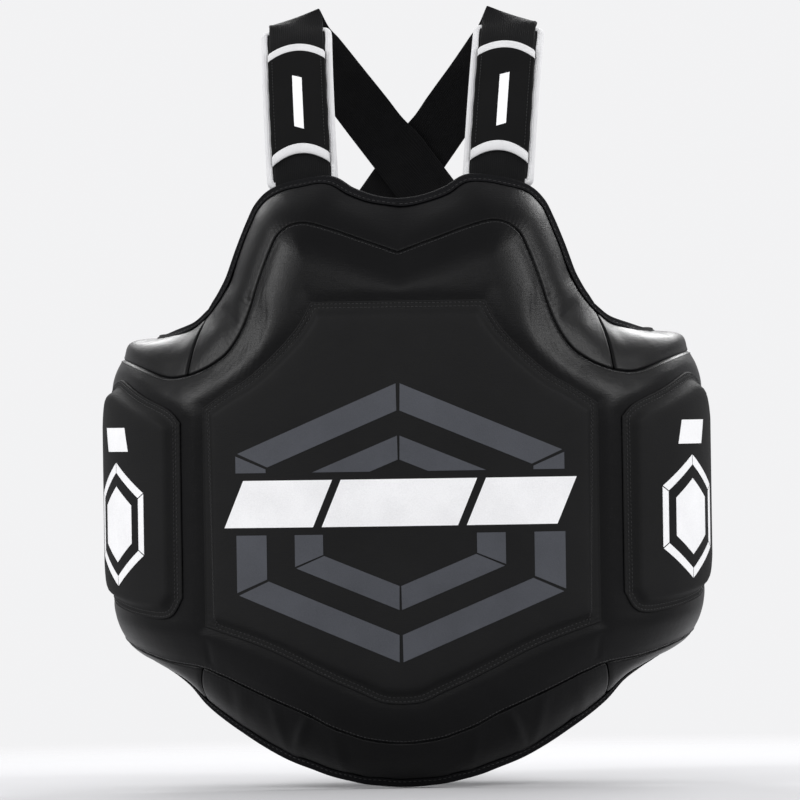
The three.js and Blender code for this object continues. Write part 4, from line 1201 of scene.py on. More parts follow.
def box_stitch(section_at, d0, d1, half, lift):
    """A sewn box with a cross in it, on a band: section_at(d) is the band's section."""
    def line(a, b):
        t = np.linspace(0, 1, 24)
        d, q = mixed(a[0], b[0], t), mixed(a[1], b[1], t)
        points = np.array([section_at(x)(np.array([y]), np.array([lift]))[0] for x, y in zip(d, q)])
        below = np.array([section_at(x)(np.array([y]), np.array([0.0]))[0] for x, y in zip(d, q)])
        return stitches(points, np.sign(lift) * (points - below), pitch=3.2)

    corners = [(d0, -half), (d0, half), (d1, half), (d1, -half)]
    runs = [line(corners[i], corners[(i + 1) % 4]) for i in range(4)]
    runs += [line(corners[0], corners[2]), line(corners[1], corners[3])]
    return joined(*runs)


def make_straps():
    """The webbing of each strap, its tail with the patches, the wire ring and the ring's tab."""
    band = (WEBBING_HALF, -WEBBING / 2, WEBBING / 2)
    stops = [*rear_stops(16, 22), TAIL_ROOT]
    tail = strip([rear_section(d, TAIL_HEIGHT) for d in stops], *band)
    loops = [rear_section(d, RING_DEPTH - LOOP_RADIUS) for d in rear_stops(17, 21)]
    loops = strip(loops, PATCH_HALF, PATCH_FROM, PATCH_FROM + LOOP_PILE)
    hooks = [rear_section(d, TAIL_HEIGHT) for d in rear_stops(17, 20)]
    hooks = strip(hooks, PATCH_HALF, -PATCH_FROM - HOOK_PILE, -PATCH_FROM)
    end = box_stitch(lambda d: rear_section(d, TAIL_HEIGHT), stops[0] + 4, stops[0] + 12, 21, 1.0)

    for side, sign in SIDES:
        def place(name, strip_and_weave, look, body, node, bend=None):
            shape, weave = strip_and_weave
            add(f"{name}_{side}", mirrored(shape, sign), look, body, [f"{node}_{side}"], weave, bend)

        crossing_lift = 2 * WEBBING + 2 if sign > 0 else WEBBING

        def height_at(d):
            away = float(smooth(abs(d), *CROSSING_GONE))
            return mixed(crossing_lift, RING_DEPTH - LOOP_RADIUS if d > 0 else WEBBING, away)

        arc = [
            (lambda q, lift, angle=angle: over_shoulder(angle, q, lift))
            for angle in np.linspace(STRAP_START, STRAP_END, 13)
        ]
        rear = [rear_section(d, height_at(d)) for d in rear_stops(0, 22)]
        sections = [*sewn_sections(), *arc, *fold_sections(), *rear, *turn_round_bar(1)]
        webbing = strip(sections, *band, gap=3.5)
        bend = [
            rear_section(d, TAIL_HEIGHT)(np.zeros(1), np.zeros(1))[0] * (sign, 1, 1)
            for d in (TAIL_ROOT, TAIL_ROOT - TAIL_BEND)
        ]
        place("shoulder_strap", webbing, "black_webbing", "vest", "shoulder_webbing")
        place("strap_tail_end", tail, "black_webbing", f"tail_{side}", "strap_tail", bend)
        place("strap_loop_patch", loops, "hook_and_loop", "vest", "strap_loop")
        place("tail_hook_patch", hooks, "hook_and_loop", f"tail_{side}", "tail_hook")
        add(f"tail_stitching_{side}", mirrored(end, sign), "black_thread", f"tail_{side}")
    add_pair("wire_ring", wire_ring(), "wire_steel", node="strap_ring")
    shape, weave = ring_tab()
    add_pair("ring_tab_webbing", shape, "black_webbing", node="ring_tab", weave=weave)


def wire_ring():
    """A rectangular loop of round wire with rounded corners, lying flat on the back."""
    across, along, corner = RING_HALF, RING_REACH, RING_CORNER
    radius = RING_BAR - 0.15
    path = []
    for cx, cy, start in QUARTERS:
        for step in range(7):
            angle = math.radians(start + 15 * step)
            x = cx * (across - corner) + corner * math.cos(angle)
            y = cy * (along - corner) + corner * math.sin(angle)
            path.append((x, y, math.cos(angle), math.sin(angle)))
    rings = []
    for x, y, nx, ny in path:
        section = []
        for c in range(16):
            angle = 2 * math.pi * c / 16
            out = radius * math.cos(angle)
            centre = RING_ACROSS * (x + nx * out) + RING_ALONG * (y + ny * out)
            section.append(RING_CENTRE + centre + RING_NORMAL * radius * math.sin(angle))
        rings.append(section)
    return ring(np.array(rings))


def ring_tab():
    """The tab that holds the ring: up from the lining, round the lower bar and back over itself."""
    sections = [rear_section(d, height) for d, height in TAB_STATIONS]
    sections += [(lambda q, lift, s=s: s(-q, lift)) for s in turn_round_bar(-1)]
    for d in (308, 320):
        sections.append(lambda q, lift, s=rear_section(d, TAIL_HEIGHT): s(q, -lift))
    return strip(sections, WEBBING_HALF, -WEBBING / 2, WEBBING / 2, gap=3)


# ---- Shoulder pads and their sleeves ----

PAD_HALF, PAD_FROM, PAD_TO = 31.7, math.radians(16.4), math.radians(53.4)
PAD_TOP, PAD_BOTTOM, PAD_CORNER = -2.4, -10.4, 7
PAD_OUTER, PAD_LEG, PAD_TAPE = 33, 6, 1
SLEEVE_HALF, SLEEVE_FROM, SLEEVE_TO = 26.7, math.radians(22.3), math.radians(43.4)
SLEEVE_UNDER, SLEEVE_OVER = 2, 3.2
ARCH_LOWER, ARCH_UPPER, SLEEVE_BINDING = math.radians(2.25), math.radians(2.5), math.radians(1.95)
PAD_LENGTH, PAD_WIDTH = (PAD_TO - PAD_FROM) * STRAP_RADIUS, 63  # as the cloth is cut
TAPE_GIRTH, TAPE_STITCH_INSET = 20, 1.6
SLEEVE_CROWN, SLEEVE_ROUND = 0.7, 1.5
SLEEVE_SEAM, SLEEVE_SEAM_DIP = 22.8, 0.35
SLEEVE_RIPPLE = 0.18


def make_pad():
    """The cushion of a shoulder pad, whose underside is puffed up on both sides of its middle."""
    def place(u, v, lift=PAD_BOTTOM):
        along = v * PAD_LENGTH
        missing = np.clip(PAD_CORNER - np.minimum(along, PAD_LENGTH - along), 0, None)
        half = PAD_HALF - (PAD_CORNER - np.sqrt(np.clip(PAD_CORNER**2 - missing**2, 0, None)))
        return over_shoulder(PAD_FROM + along / STRAP_RADIUS, mixed(-half, half, u), lift)

    def held(u, v):
        rim = np.minimum(np.minimum(u, 1 - u) * PAD_WIDTH, np.minimum(v, 1 - v) * PAD_LENGTH)
        return np.maximum(1 - smooth(rim, 3, 8), bump_at((u - 0.5) * PAD_WIDTH, 0, 3))

    shift = simulated("pad_cloth", place, 18, 50, held, pressure=5.0, growth=0.03, cap=3.0)
    u, v = np.meshgrid(eased(30), eased(90))
    crown = 0.5 * np.sin(np.pi * u) * np.sin(np.pi * v)
    shape = slab(place(u, v, PAD_TOP + crown), place(u, v) + shift(u, v))
    weave = weave_map(u * PAD_WIDTH, v * PAD_LENGTH, skins=2)
    add_pair("shoulder_pad_cushion", shape, "lining_fabric", "pad", "shoulder_pad", weave, fill=0.8)


def pad_rim():
    """The rim of a pad, as (across, along, outward) in its own flat plane, evenly spaced."""
    half_length = (PAD_TO - PAD_FROM) / 2 * STRAP_RADIUS + PAD_OUTER - PAD_HALF
    radius = PAD_CORNER + PAD_OUTER - PAD_HALF
    rim = []
    for sx, sy, start in QUARTERS:
        for angle in np.radians(np.linspace(start, start + 90, 9)):
            normal = np.array([math.cos(angle), math.sin(angle)])
            centre = np.array([sx * (PAD_OUTER - radius), sy * (half_length - radius)])
            rim.append(np.concatenate([centre + normal * radius, normal]))
        if sx == sy:
            continue
        for y in np.linspace(-1, 1, 40)[1:-1]:
            rim.append(np.array([sx * PAD_OUTER, -sx * y * -(half_length - radius), sx, 0]))
    return np.array(rim)


def make_pad_binding():
    """The white tape round a pad's rim, and its stitches."""
    rim = pad_rim()
    top, bottom = PAD_TOP + 0.3, PAD_BOTTOM - 0.3
    over, under = top + PAD_TAPE, bottom - PAD_TAPE
    wave = 0.25 * np.sin(np.arange(len(rim)) * 0.9)
    section = [(PAD_LEG, top), (PAD_LEG, top + 0.7), (PAD_LEG - 0.7, over), (2.5, over + 0.2)]
    section += [(0.9, top + 0.6), (0.1, top - 1), (0, mixed(top, bottom, 0.5)), (0.1, bottom + 1)]
    section += [(0.9, bottom - 0.6), (2.5, under - 0.2), (PAD_LEG - 0.7, under), (PAD_LEG, bottom - 0.7)]
    section += [(PAD_LEG, bottom), (PAD_TAPE, bottom), (PAD_TAPE, top)]
    middle = (PAD_FROM + PAD_TO) / 2

    def at(inward, lift, line=rim):
        p = line[:, :2] - line[:, 2:] * inward[:, None]
        return over_shoulder(middle + p[:, 1] / STRAP_RADIUS, p[:, 0], lift)

    shape = ring(np.stack([at(inward + wave * (inward > 4), lift) for inward, lift in section], 1))
    run = lengths_to(rim[:, :2])
    weave = weave_map(np.linspace(0, TAPE_GIRTH, len(section)), run[:, None])
    add_pair("pad_binding_tape", shape, "white_tape", "pad", "shoulder_pad_binding", weave)

    inward = closed(PAD_LEG - TAPE_STITCH_INSET + wave)
    line = at(inward, over + 0.12, closed(rim))
    normal = unit(line - at(inward, -20, closed(rim)))
    add_pair("pad_binding_stitching", stitches(line, normal, 3.6, 0.32), "white_thread", "pad")


def sleeve_crown(q):
    """How far the sleeve stands up over the webbing, q across it."""
    return SLEEVE_CROWN * (1 - (q / SLEEVE_HALF) ** 2)


def sleeve_angle(q, v):
    """The angle round the strap's arc of a place on the sleeve, whose ends are arched."""
    arch = 1 - (q / SLEEVE_HALF) ** 2
    return mixed(SLEEVE_FROM + ARCH_LOWER * arch, SLEEVE_TO + ARCH_UPPER * arch, v)


def make_sleeve():
    """The cover that holds the webbing on a pad, with its side seams and its bar."""
    inside = WEBBING_HALF + 0.4
    steps = [0.42, 0.82, 1.12, 1.3]  # past the inside, out to the sleeve's edge
    half = [*np.linspace(0, inside - 0.05, 18), inside + 0.05, *(inside + step for step in steps)]
    q = np.array([-x for x in half[:0:-1]] + half)
    q, v = np.meshgrid(q, np.linspace(0, 1, 60))
    past = np.clip(np.abs(q) - (SLEEVE_HALF - SLEEVE_ROUND), 0, SLEEVE_ROUND)
    drop = SLEEVE_ROUND - np.sqrt(np.clip(SLEEVE_ROUND**2 - past**2, 0, None))
    puff = sleeve_crown(q) * np.sin(np.pi * np.clip(v, 0.02, 0.98)) ** 0.3
    seam = SLEEVE_SEAM_DIP * bump_at(np.abs(q), SLEEVE_SEAM, 1)
    ripple = SLEEVE_RIPPLE * np.sin(v * 37 + q * 0.05) * bump_at(np.abs(q), 26, 5)
    over = SLEEVE_OVER + puff - seam + ripple - drop
    foot = np.where(np.abs(q) > inside, PAD_TOP + 0.3, SLEEVE_UNDER)
    angle = sleeve_angle(q, v)
    shape = slab(over_shoulder(angle, q, over), over_shoulder(angle, q, np.minimum(foot, over - 0.5)))
    add_pair("sleeve_cover", shape, "sleeve_leather", "pad", "shoulder_sleeve", fill=0.6)

    runs = []
    for side in (-SLEEVE_SEAM, SLEEVE_SEAM):
        v = np.linspace(0.03, 0.97, 80)
        angle = sleeve_angle(np.full_like(v, side), v)
        line = over_shoulder(angle, side, SLEEVE_OVER + 0.15)
        runs.append(stitches(line, unit(line - over_shoulder(angle, side, -20)), 3.6, 0.34))
    add_pair("sleeve_stitching", joined(*runs), "black_thread", "pad")

    angle = (SLEEVE_FROM + SLEEVE_TO) / 2 + ARCH_LOWER - 0.03
    half_long, half_wide, slant = 0.1, 4.4, 0.006
    u, v = np.meshgrid(np.linspace(-1, 1, 7), np.linspace(-1, 1, 24))
    at, q = angle + v * half_long + u * slant, u * half_wide
    top = SLEEVE_OVER + sleeve_crown(q) + 0.2
    bar = slab(over_shoulder(at, q, top + 0.15), over_shoulder(at, q, top - 0.12))
    add_pair("sleeve_print", bar, "white_ink", "pad")


def make_sleeve_bindings():
    """The white tapes on the two arched ends of a sleeve."""
    gap = 0.3 / STRAP_RADIUS
    for name, end, direction in (("upper", 1, 1), ("lower", 0, -1)):
        q, v = np.meshgrid(np.linspace(-SLEEVE_HALF, SLEEVE_HALF, 41), np.linspace(0, 1, 11))
        angle = sleeve_angle(q, end) + direction * (gap + v * SLEEVE_BINDING)
        bulge = np.sqrt(np.clip(1 - (2 * v - 1) ** 2 * 0.96, 0, 1))
        drop = np.clip(np.abs(q) - 25.3, 0, 1.4) ** 2 * 0.9
        over = SLEEVE_UNDER + 0.7 + 1.5 * bulge - drop
        under = np.minimum(SLEEVE_UNDER - 0.3, over - 0.3)
        shape = slab(over_shoulder(angle, q, over), over_shoulder(angle, q, under))
        node = f"sleeve_binding_{name}"
        add_pair(f"sleeve_tape_{name}", shape, "white_tape", "pad", node, weave_map(v * 10, q, skins=2))


# ---- Waist belt ----

BELT_FROM, BELT_TO, BELT_THICK, BELT_ROOT, BELT_OVERLAP = 152, 232, 2.5, 223, 70
BELT_LIFT, PATCH, BELT_GAP, BELT_BEND = 0.6, 1.7, 0.3, 26
BELT_ROWS, BELT_ROUND = 18, 1.6
LOOP_LIFT = BELT_LIFT + BELT_THICK + BELT_GAP
HOOK_LIFT = LOOP_LIFT + PATCH + BELT_GAP
OUTER_LIFT = HOOK_LIFT + PATCH + BELT_GAP
PATCH_MARGIN, PATCH_SETBACK = 6, 5  # the patches in from the belt's long edges and its tip
TIP_BOX = (46, 64)  # the box that is sewn through the outer belt's tip


def belt_band(w0, w1, low, high, lift, thick, columns):
    """A band round the back from w0 to w1, and its weave coordinates; lift is a rule of w."""
    w, v = np.meshgrid(np.linspace(w0, w1, columns + 1), eased(BELT_ROWS))
    z = mixed(low, high, v)
    from_edge = np.minimum(z - low, high - z)
    rounded = np.sqrt(np.clip(1 - np.clip(1 - from_edge / BELT_ROUND, 0, 0.93) ** 2, 0, 1))
    middle = lift(w) + thick / 2
    outer, inner = (on_back(w, z, middle + sign * thick / 2 * rounded) for sign in (1, -1))
    return slab(outer, inner), weave_map(z, w, skins=2)


def make_belt():
    """The two belt halves, which overlap behind the wearer, and their patches."""
    def left_lift(w):
        rise = smooth(w, 20 - BELT_ROOT, -BELT_OVERLAP - 25)
        wave = 0.5 * np.sin(w / 9) * (1 - rise) * smooth(w, -222, -212)
        return mixed(BELT_LIFT, OUTER_LIFT, rise) + wave

    def level(lift):
        return lambda w: lift + 0 * w

    def bend(side):
        middle = np.array([(BELT_FROM + BELT_TO) / 2])
        places = (side * BELT_ROOT, side * (BELT_ROOT - BELT_BEND))
        return [on_back(np.array([w]), middle, np.array([BELT_LIFT]))[0] for w in places]

    def add_band(name, band, look, side, node, bent=None):
        add(f"belt_{name}", band[0], look, f"belt_{side}", [node], band[1], bent)

    whole = (BELT_FROM, BELT_TO)
    right = belt_band(-BELT_OVERLAP, BELT_ROOT, *whole, level(BELT_LIFT + 0.4), BELT_THICK - 0.4, 110)
    left = belt_band(-BELT_ROOT, BELT_OVERLAP, *whole, left_lift, BELT_THICK, 110)
    add_band("elastic_right", right, "elastic_webbing", "right", "waist_belt_right", bend(1))
    add_band("elastic_left", left, "elastic_webbing", "left", "waist_belt_left", bend(-1))
    low, high = BELT_FROM + PATCH_MARGIN, BELT_TO - PATCH_MARGIN
    tip = BELT_OVERLAP - PATCH_SETBACK
    loops = belt_band(-tip, tip, low, high, level(LOOP_LIFT), PATCH, 50)
    hooks = belt_band(-20, tip, low, high, level(HOOK_LIFT), PATCH, 34)
    add_band("loop_fastener", loops, "hook_and_loop", "right", "belt_loop_patch")
    add_band("hook_fastener", hooks, "hook_and_loop", "left", "belt_hook_patch")

    w0, w1 = TIP_BOX
    runs = []
    for a, b in (
        ((w0, low), (w0, high)), ((w1, low), (w1, high)), ((w0, low), (w1, high)), ((w0, high), (w1, low)),
    ):
        t = np.linspace(0, 1, 30)
        w, z = mixed(a[0], b[0], t), mixed(a[1], b[1], t)
        line = on_back(w, z, OUTER_LIFT + BELT_THICK + 0.1 + 0 * w)
        runs.append(stitches(line, unit(line - back_surface(w, z)), 3.4, 0.4))
    add("belt_tip_stitching", joined(*runs), "black_thread", "belt_left")


# ---- Materials ----

class Look:
    """A procedural material under construction. Scales are per metre and reliefs in metres."""

    def __init__(self, name, colour, roughness, **sockets):
        self.material = bpy.data.materials.new(name)
        self.material.use_nodes = True
        self.tree = self.material.node_tree
        self.shader = self.tree.nodes["Principled BSDF"]
        self.shader.inputs["Base Color"].default_value = (*colour, 1)
        self.shader.inputs["Roughness"].default_value = roughness
        for socket, value in sockets.items():
            self.shader.inputs[socket.replace("_", " ")].default_value = value
        looks[name] = self.material

    def node(self, kind, inputs=(), **settings):
        made = self.tree.nodes.new(kind)
        for name, value in settings.items():
            setattr(made, name, value)
        for name, value in dict(inputs).items():
            if isinstance(value, bpy.types.NodeSocket):
                self.tree.links.new(value, made.inputs[name])
            else:
                made.inputs[name].default_value = value
        return made

    def place(self):
        return self.node("ShaderNodeTexCoord").outputs["Object"]

    def weave(self):
        return self.node("ShaderNodeAttribute", attribute_name="weave").outputs["Vector"]

    def noise(self, vector, scale, detail=3.0, roughness=0.55):
        inputs = {"Vector": vector, "Scale": scale, "Detail": detail, "Roughness": roughness}
        return self.node("ShaderNodeTexNoise", inputs).outputs["Fac"]

    def cells(self, vector, scale):
        inputs = {"Vector": vector, "Scale": scale}
        return self.node("ShaderNodeTexVoronoi", inputs, feature="SMOOTH_F1").outputs["Distance"]

    def ribs(self, vector, axis, pitch):
        """Ribs across one axis of the weave, pitch metres apart, from 0 to 1."""
        part = self.node("ShaderNodeSeparateXYZ", {"Vector": vector}).outputs[axis]
        turned = self.math("MULTIPLY", part, 2 * math.pi / pitch)
        wave = self.math("SINE", turned)
        return self.math("MULTIPLY_ADD", wave, 0.5, 0.5)

    def math(self, operation, a, b=0.0, c=0.0):
        return self.node("ShaderNodeMath", enumerate((a, b, c)), operation=operation).outputs[0]

    def between(self, factor, low, high):
        """A value from low to high as factor goes from 0 to 1."""
        inputs = {"Value": factor, "To Min": low, "To Max": high}
        return self.node("ShaderNodeMapRange", inputs).outputs["Result"]

    def blend(self, a, share_a, b, share_b):
        """Two values added up in shares."""
        return self.math("MULTIPLY_ADD", a, share_a, self.math("MULTIPLY", b, share_b))

    def colours(self, factor, *stops):
        ramp = self.node("ShaderNodeValToRGB", {"Fac": factor})
        elements = ramp.color_ramp.elements
        while len(elements) < len(stops):
            elements.new(0.5)
        for element, (place, colour) in zip(elements, stops):
            element.position = place
            element.color = (*colour, 1)
        self.link(ramp.outputs["Color"], "Base Color")

    def link(self, output, socket):
        self.tree.links.new(output, self.shader.inputs[socket])

    def relief(self, height, distance, strength=1.0, before=None):
        """Bump from a height between 0 and 1 that stands for a distance in metres."""
        inputs = {"Height": height, "Distance": distance, "Strength": strength}
        if before is not None:
            inputs["Normal"] = before
        return self.node("ShaderNodeBump", inputs).outputs["Normal"]


def leather(name, dark, light, rough_low, rough_high, grain, **sockets):
    """Coated leather: fine pebbled grain, soft creases with painted shade in their hollows, random mottled
    tone, and slightly uneven gloss.
    """
    look = Look(name, dark, rough_low, **sockets)
    place = look.place()
    pebbles = look.cells(place, 1100)
    fine = look.noise(place, 2600, 2)
    creases = look.noise(place, 42, 4, 0.6)
    mottle = look.noise(place, 9, 3)
    level = look.node("ShaderNodeMapping", {"Vector": place, "Scale": (90, 90, 1500)}).outputs["Vector"]
    streaks = look.noise(level, 1, 3)
    # Colour: random mottle, plus painted shade from the crease height that darkens the creases' hollows.
    look.colours(look.blend(mottle, 0.7, creases, 0.3), (0.3, dark), (0.75, light))
    gloss = look.blend(streaks, 0.55, mottle, 0.45)
    look.link(look.between(gloss, rough_low, rough_high), "Roughness")
    first = look.relief(creases, 0.0022, 0.16)
    second = look.relief(pebbles, 0.00028, grain, first)
    third = look.relief(streaks, 0.0004, grain, second)
    look.link(look.relief(fine, 0.00008, grain, third), "Normal")


def woven(name, dark, light, roughness, across, along, depth, sheen=0.03):
    """Woven tape or cloth: ribs along it crossed by others, with both pitches in metres, and painted shade
    darkening the grooves between the ribs.
    """
    look = Look(name, dark, roughness, Sheen_Weight=sheen, Sheen_Roughness=0.5, Specular_IOR_Level=0.06)
    weave = look.weave()
    ribs = look.ribs(weave, "X", across)
    picks = look.ribs(weave, "Y", along)
    fuzz = look.noise(weave, 2400, 2)
    uneven = look.noise(weave, 55, 3)
    height = look.math("MULTIPLY_ADD", fuzz, 0.25, look.blend(ribs, 0.6, picks, 0.3))
    # Colour: painted shade from the weave's height, darker in the grooves between ribs, mixed with random
    # unevenness.
    groove_shade_and_unevenness = look.blend(height, 0.55, uneven, 0.4)
    look.colours(groove_shade_and_unevenness, (0.2, dark), (0.85, light))
    look.link(look.between(uneven, roughness - 0.07, roughness + 0.08), "Roughness")
    first = look.relief(look.noise(weave, 30, 2), 0.0012, 0.25)
    look.link(look.relief(height, depth, 0.9, first), "Normal")


def make_looks():
    leather("gloss_leather", (0.0012, 0.0012, 0.0015), (0.0026, 0.0026, 0.003), 0.27, 0.43, 0.3,
            Specular_IOR_Level=0.155)
    leather("matte_leather", (0.0085, 0.0085, 0.0088), (0.0115, 0.0115, 0.0118), 0.6, 0.72, 0.4,
            Specular_IOR_Level=0.1)
    leather("sleeve_leather", (0.0038, 0.0038, 0.004), (0.0062, 0.0062, 0.0064), 0.6, 0.75, 0.4,
            Specular_IOR_Level=0.08)
    woven("lining_fabric", (0.012, 0.012, 0.0125), (0.036, 0.036, 0.037), 0.72, 0.0016, 0.0016, 0.0003,
          sheen=0.08)
    woven("black_webbing", (0.002, 0.002, 0.0023), (0.0095, 0.0095, 0.01), 0.62, 0.0018, 0.0012, 0.0003)
    woven("elastic_webbing", (0.004, 0.004, 0.0045), (0.017, 0.017, 0.018), 0.7, 0.0034, 0.0011, 0.0006)
    woven("black_tape", (0.003, 0.003, 0.0035), (0.011, 0.011, 0.012), 0.85, 0.0009, 0.0014, 0.0002,
          sheen=0.0)
    woven("white_tape", (0.6, 0.6, 0.61), (0.78, 0.78, 0.79), 0.66, 0.001, 0.0013, 0.0002, sheen=0.1)

    hooks = Look("hook_and_loop", (0.006, 0.006, 0.0065), 0.85, Sheen_Weight=0.08, Sheen_Roughness=0.4)
    weave = hooks.weave()
    tufts = hooks.cells(weave, 900)
    fuzz = hooks.noise(weave, 1700, 4, 0.7)
    pile = hooks.blend(tufts, 0.6, fuzz, 0.5)
    # The colour follows the pile's height: painted shade, darker in the dips between the tufts.
    hooks.colours(pile, (0.2, (0.004, 0.004, 0.0045)), (0.8, (0.022, 0.022, 0.023)))
    hooks.link(hooks.relief(pile, 0.0009), "Normal")

    foam = Look("impact_foam", (0.06, 0.06, 0.065), 0.95)
    pores = foam.cells(foam.place(), 700)
    # Painted shade: the colour is darker in the pores, where the bump sinks.
    foam.colours(pores, (0.1, (0.03, 0.03, 0.033)), (0.6, (0.075, 0.075, 0.08)))
    foam.link(foam.relief(pores, 0.0006), "Normal")

    gel = Look("shock_gel", (0.12, 0.14, 0.17), 0.3, Subsurface_Weight=0.2)
    gel.shader.inputs["Subsurface Radius"].default_value = (0.004, 0.004, 0.005)
    bubbles = gel.cells(gel.place(), 160)
    # Painted shade: the colour is darker in the dimples of the bubble cells, where the bump sinks.
    gel.colours(bubbles, (0.0, (0.09, 0.105, 0.13)), (0.5, (0.13, 0.15, 0.18)))
    gel.link(gel.relief(bubbles, 0.0004, 0.5), "Normal")

    steel = Look("wire_steel", (0.56, 0.56, 0.58), 0.24, Metallic=1.0)
    place = steel.place()
    steel.link(steel.between(steel.noise(place, 420, 4), 0.16, 0.38), "Roughness")
    steel.link(steel.relief(steel.noise(place, 1500, 2), 0.00005, 0.5), "Normal")

    for name, dark, light, roughness in (
        ("black_thread", (0.006, 0.006, 0.0065), (0.02, 0.02, 0.021), 0.5),
        ("white_thread", (0.6, 0.6, 0.61), (0.82, 0.82, 0.83), 0.55),
    ):
        thread = Look(name, dark, roughness, Sheen_Weight=0.1, Specular_IOR_Level=0.3)
        twist = thread.noise(thread.place(), 2200, 2)
        # Painted shade: the colour is darker where the twist's bump is low.
        thread.colours(twist, (0.35, dark), (0.65, light))
        thread.link(thread.relief(twist, 0.0002, 0.6), "Normal")

    for name, thin, full, roughness in (
        ("grey_ink", (0.044, 0.047, 0.056), (0.06, 0.064, 0.076), 0.58),
        ("white_ink", (0.8, 0.8, 0.81), (0.92, 0.92, 0.93), 0.5),
    ):
        ink = Look(name, full, roughness, Specular_IOR_Level=0.35)
        place = ink.place()
        grain = ink.noise(place, 900, 3)
        cover = ink.blend(grain, 0.5, ink.noise(place, 25, 4), 0.5)
        ink.colours(cover, (0.3, thin), (0.6, full))
        ink.link(ink.between(grain, roughness - 0.08, roughness + 0.1), "Roughness")
        ink.link(ink.relief(ink.cells(place, 1100), 0.0002, 0.3), "Normal")


# ---- Stage ----

FLOOR_RADIUS, FADE_FROM, FADE_TO = 3.2, 0.45, 1.4  # metres, as is all of the stage


def make_floor(height):
    """A pale round floor that fades out towards its rim."""
    rings, spokes = 40, 96
    out, angle = FLOOR_RADIUS * np.arange(1, rings + 1) / rings, 2 * math.pi * np.arange(spokes) / spokes
    out, angle = np.meshgrid(out, angle, indexing="ij")
    points = np.stack([out * np.cos(angle), out * np.sin(angle), np.full_like(out, height)], -1)
    points = np.concatenate([points.reshape(-1, 3), [(0, 0, height)]]).tolist()
    index = np.arange(rings * spokes).reshape(rings, spokes)
    beside = np.roll(index, -1, 1)
    faces = quads(index[:-1], index[1:], beside[1:], beside[:-1]).tolist()
    faces += [(len(points) - 1, j, (j + 1) % spokes) for j in range(spokes)]
    mesh = bpy.data.meshes.new("floor")
    mesh.from_pydata(points, [], faces)
    floor = bpy.data.objects.new("floor", mesh)
    bpy.context.scene.collection.objects.link(floor)
    floor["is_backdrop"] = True
    look = Look("floor", (0.52, 0.52, 0.53), 0.9, Specular_IOR_Level=0.0)
    far = look.node("ShaderNodeVectorMath", {0: look.place()}, operation="LENGTH").outputs["Value"]
    fade = {"Value": far, "From Min": FADE_FROM, "From Max": FADE_TO, "To Min": 1.0, "To Max": 0.0}
    fade = look.node("ShaderNodeMapRange", fade, interpolation_type="SMOOTHSTEP")
    look.link(fade.outputs["Result"], "Alpha")
    floor.data.materials.append(looks["floor"])


LIGHT_TARGET = (0, 0, 0.35)
SHOWN_BACKGROUND, LIGHTING_BACKGROUND = (0.89, 0.89, 0.9, 1), (0.5, 0.5, 0.51, 1)


def area_light(name, place, size, power):
    data = bpy.data.lights.new(name, "AREA")
    data.shape = "RECTANGLE"
    data.size, data.size_y = size
    data.energy = power
    light = bpy.data.objects.new(name, data)
    light.visible_camera = False
    bpy.context.scene.collection.objects.link(light)
    light.location = place
    direction = Vector(LIGHT_TARGET) - Vector(place)
    light.rotation_euler = direction.to_track_quat("-Z", "Y").to_euler()


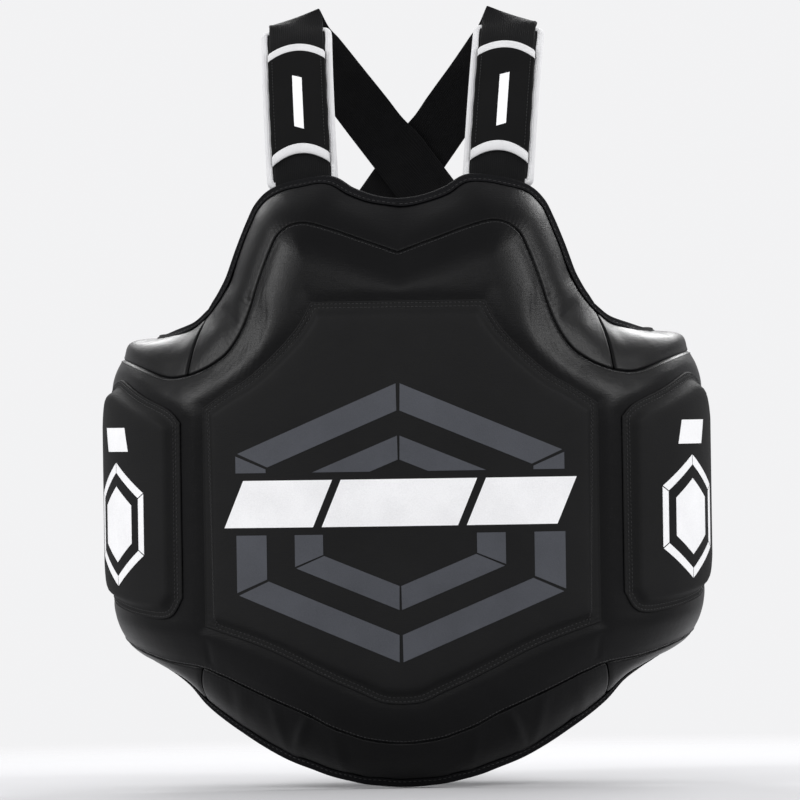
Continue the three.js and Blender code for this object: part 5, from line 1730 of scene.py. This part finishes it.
def make_lights():
    """Area lights round the object, and a world that looks paler than the light it gives."""
    for name, place, size, power in (
        ("left_back_key", (-0.7, 2.6, 2.2), (1.0, 1.0), 52),
        ("right_back_key", (0.7, 2.6, 2.2), (1.0, 1.0), 52),
        ("left_rear_key", (-1.5, 1.9, 1.9), (1.0, 1.0), 12),
        ("right_rear_key", (1.5, 1.9, 1.9), (1.0, 1.0), 24),
        ("left_side_key", (-2.1, -0.75, 1.6), (0.8, 0.8), 26),
        ("right_side_key", (2.1, -0.75, 1.6), (0.8, 0.8), 24),
        ("left_front_key", (-2.1, -2.0, 1.5), (0.8, 0.8), 10),
        ("right_front_key", (2.1, -2.0, 1.5), (0.8, 0.8), 8),
        ("front_fill", (0, -3.2, 1.9), (2.6, 0.8), 20),
    ):
        area_light(name, place, size, power)
    world = bpy.data.worlds.new("studio")
    bpy.context.scene.world = world
    world.use_nodes = True
    nodes, links = world.node_tree.nodes, world.node_tree.links
    shown = nodes["Background"]
    shown.inputs["Color"].default_value = SHOWN_BACKGROUND
    lighting = nodes.new("ShaderNodeBackground")
    lighting.inputs["Color"].default_value = LIGHTING_BACKGROUND
    rays, mix = nodes.new("ShaderNodeLightPath"), nodes.new("ShaderNodeMixShader")
    links.new(rays.outputs["Is Camera Ray"], mix.inputs["Fac"])
    links.new(lighting.outputs[0], mix.inputs[1])
    links.new(shown.outputs[0], mix.inputs[2])
    links.new(mix.outputs[0], nodes["World Output"].inputs["Surface"])
    bpy.context.scene.view_settings.view_transform = "Standard"


CAMERA_DISTANCE = 10.0
CAMERA_YAW, CAMERA_PITCH, CAMERA_ROLL = math.radians(2.4), 0.0, math.radians(-0.85)
VIEW_WIDTH = 0.741  # what the picture spans, at the middle of the object
VIEW_SHIFT = (-0.0045, -0.03, -0.006)  # from the middle of the CAD model to the view's centre


def make_camera():
    data = bpy.data.cameras.new("camera")
    camera = bpy.data.objects.new("camera", data)
    bpy.context.scene.collection.objects.link(camera)
    low, high = cad_box
    x, y, z = VIEW_SHIFT
    target = Vector((x, (low.y + high.y) / 2 + y, (low.z + high.z) / 2 + z))
    towards = Vector((-math.sin(CAMERA_YAW), math.cos(CAMERA_YAW), -math.sin(CAMERA_PITCH)))
    camera.location = target - towards.normalized() * CAMERA_DISTANCE
    turn = towards.to_track_quat("-Z", "Y").to_matrix().to_4x4()
    roll = Matrix.Rotation(CAMERA_ROLL, 4, "Z")
    camera.matrix_world = Matrix.Translation(camera.location) @ turn @ roll
    data.sensor_width = 36
    data.lens = data.sensor_width * CAMERA_DISTANCE / VIEW_WIDTH
    bpy.context.scene.camera = camera


make_looks()
make_camera()
make_face()
make_walls()
make_edge_binding()
make_gel_panel("centre_gel", centre_panel, 46, 96)
make_gel_panel("side_gel", side_panel, 64, 84)
make_prints()
make_inside()
make_straps()
make_pad()
make_pad_binding()
make_sleeve()
make_sleeve_bindings()
make_belt()
make_floor(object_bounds()[0].z - 0.0005)
make_lights()
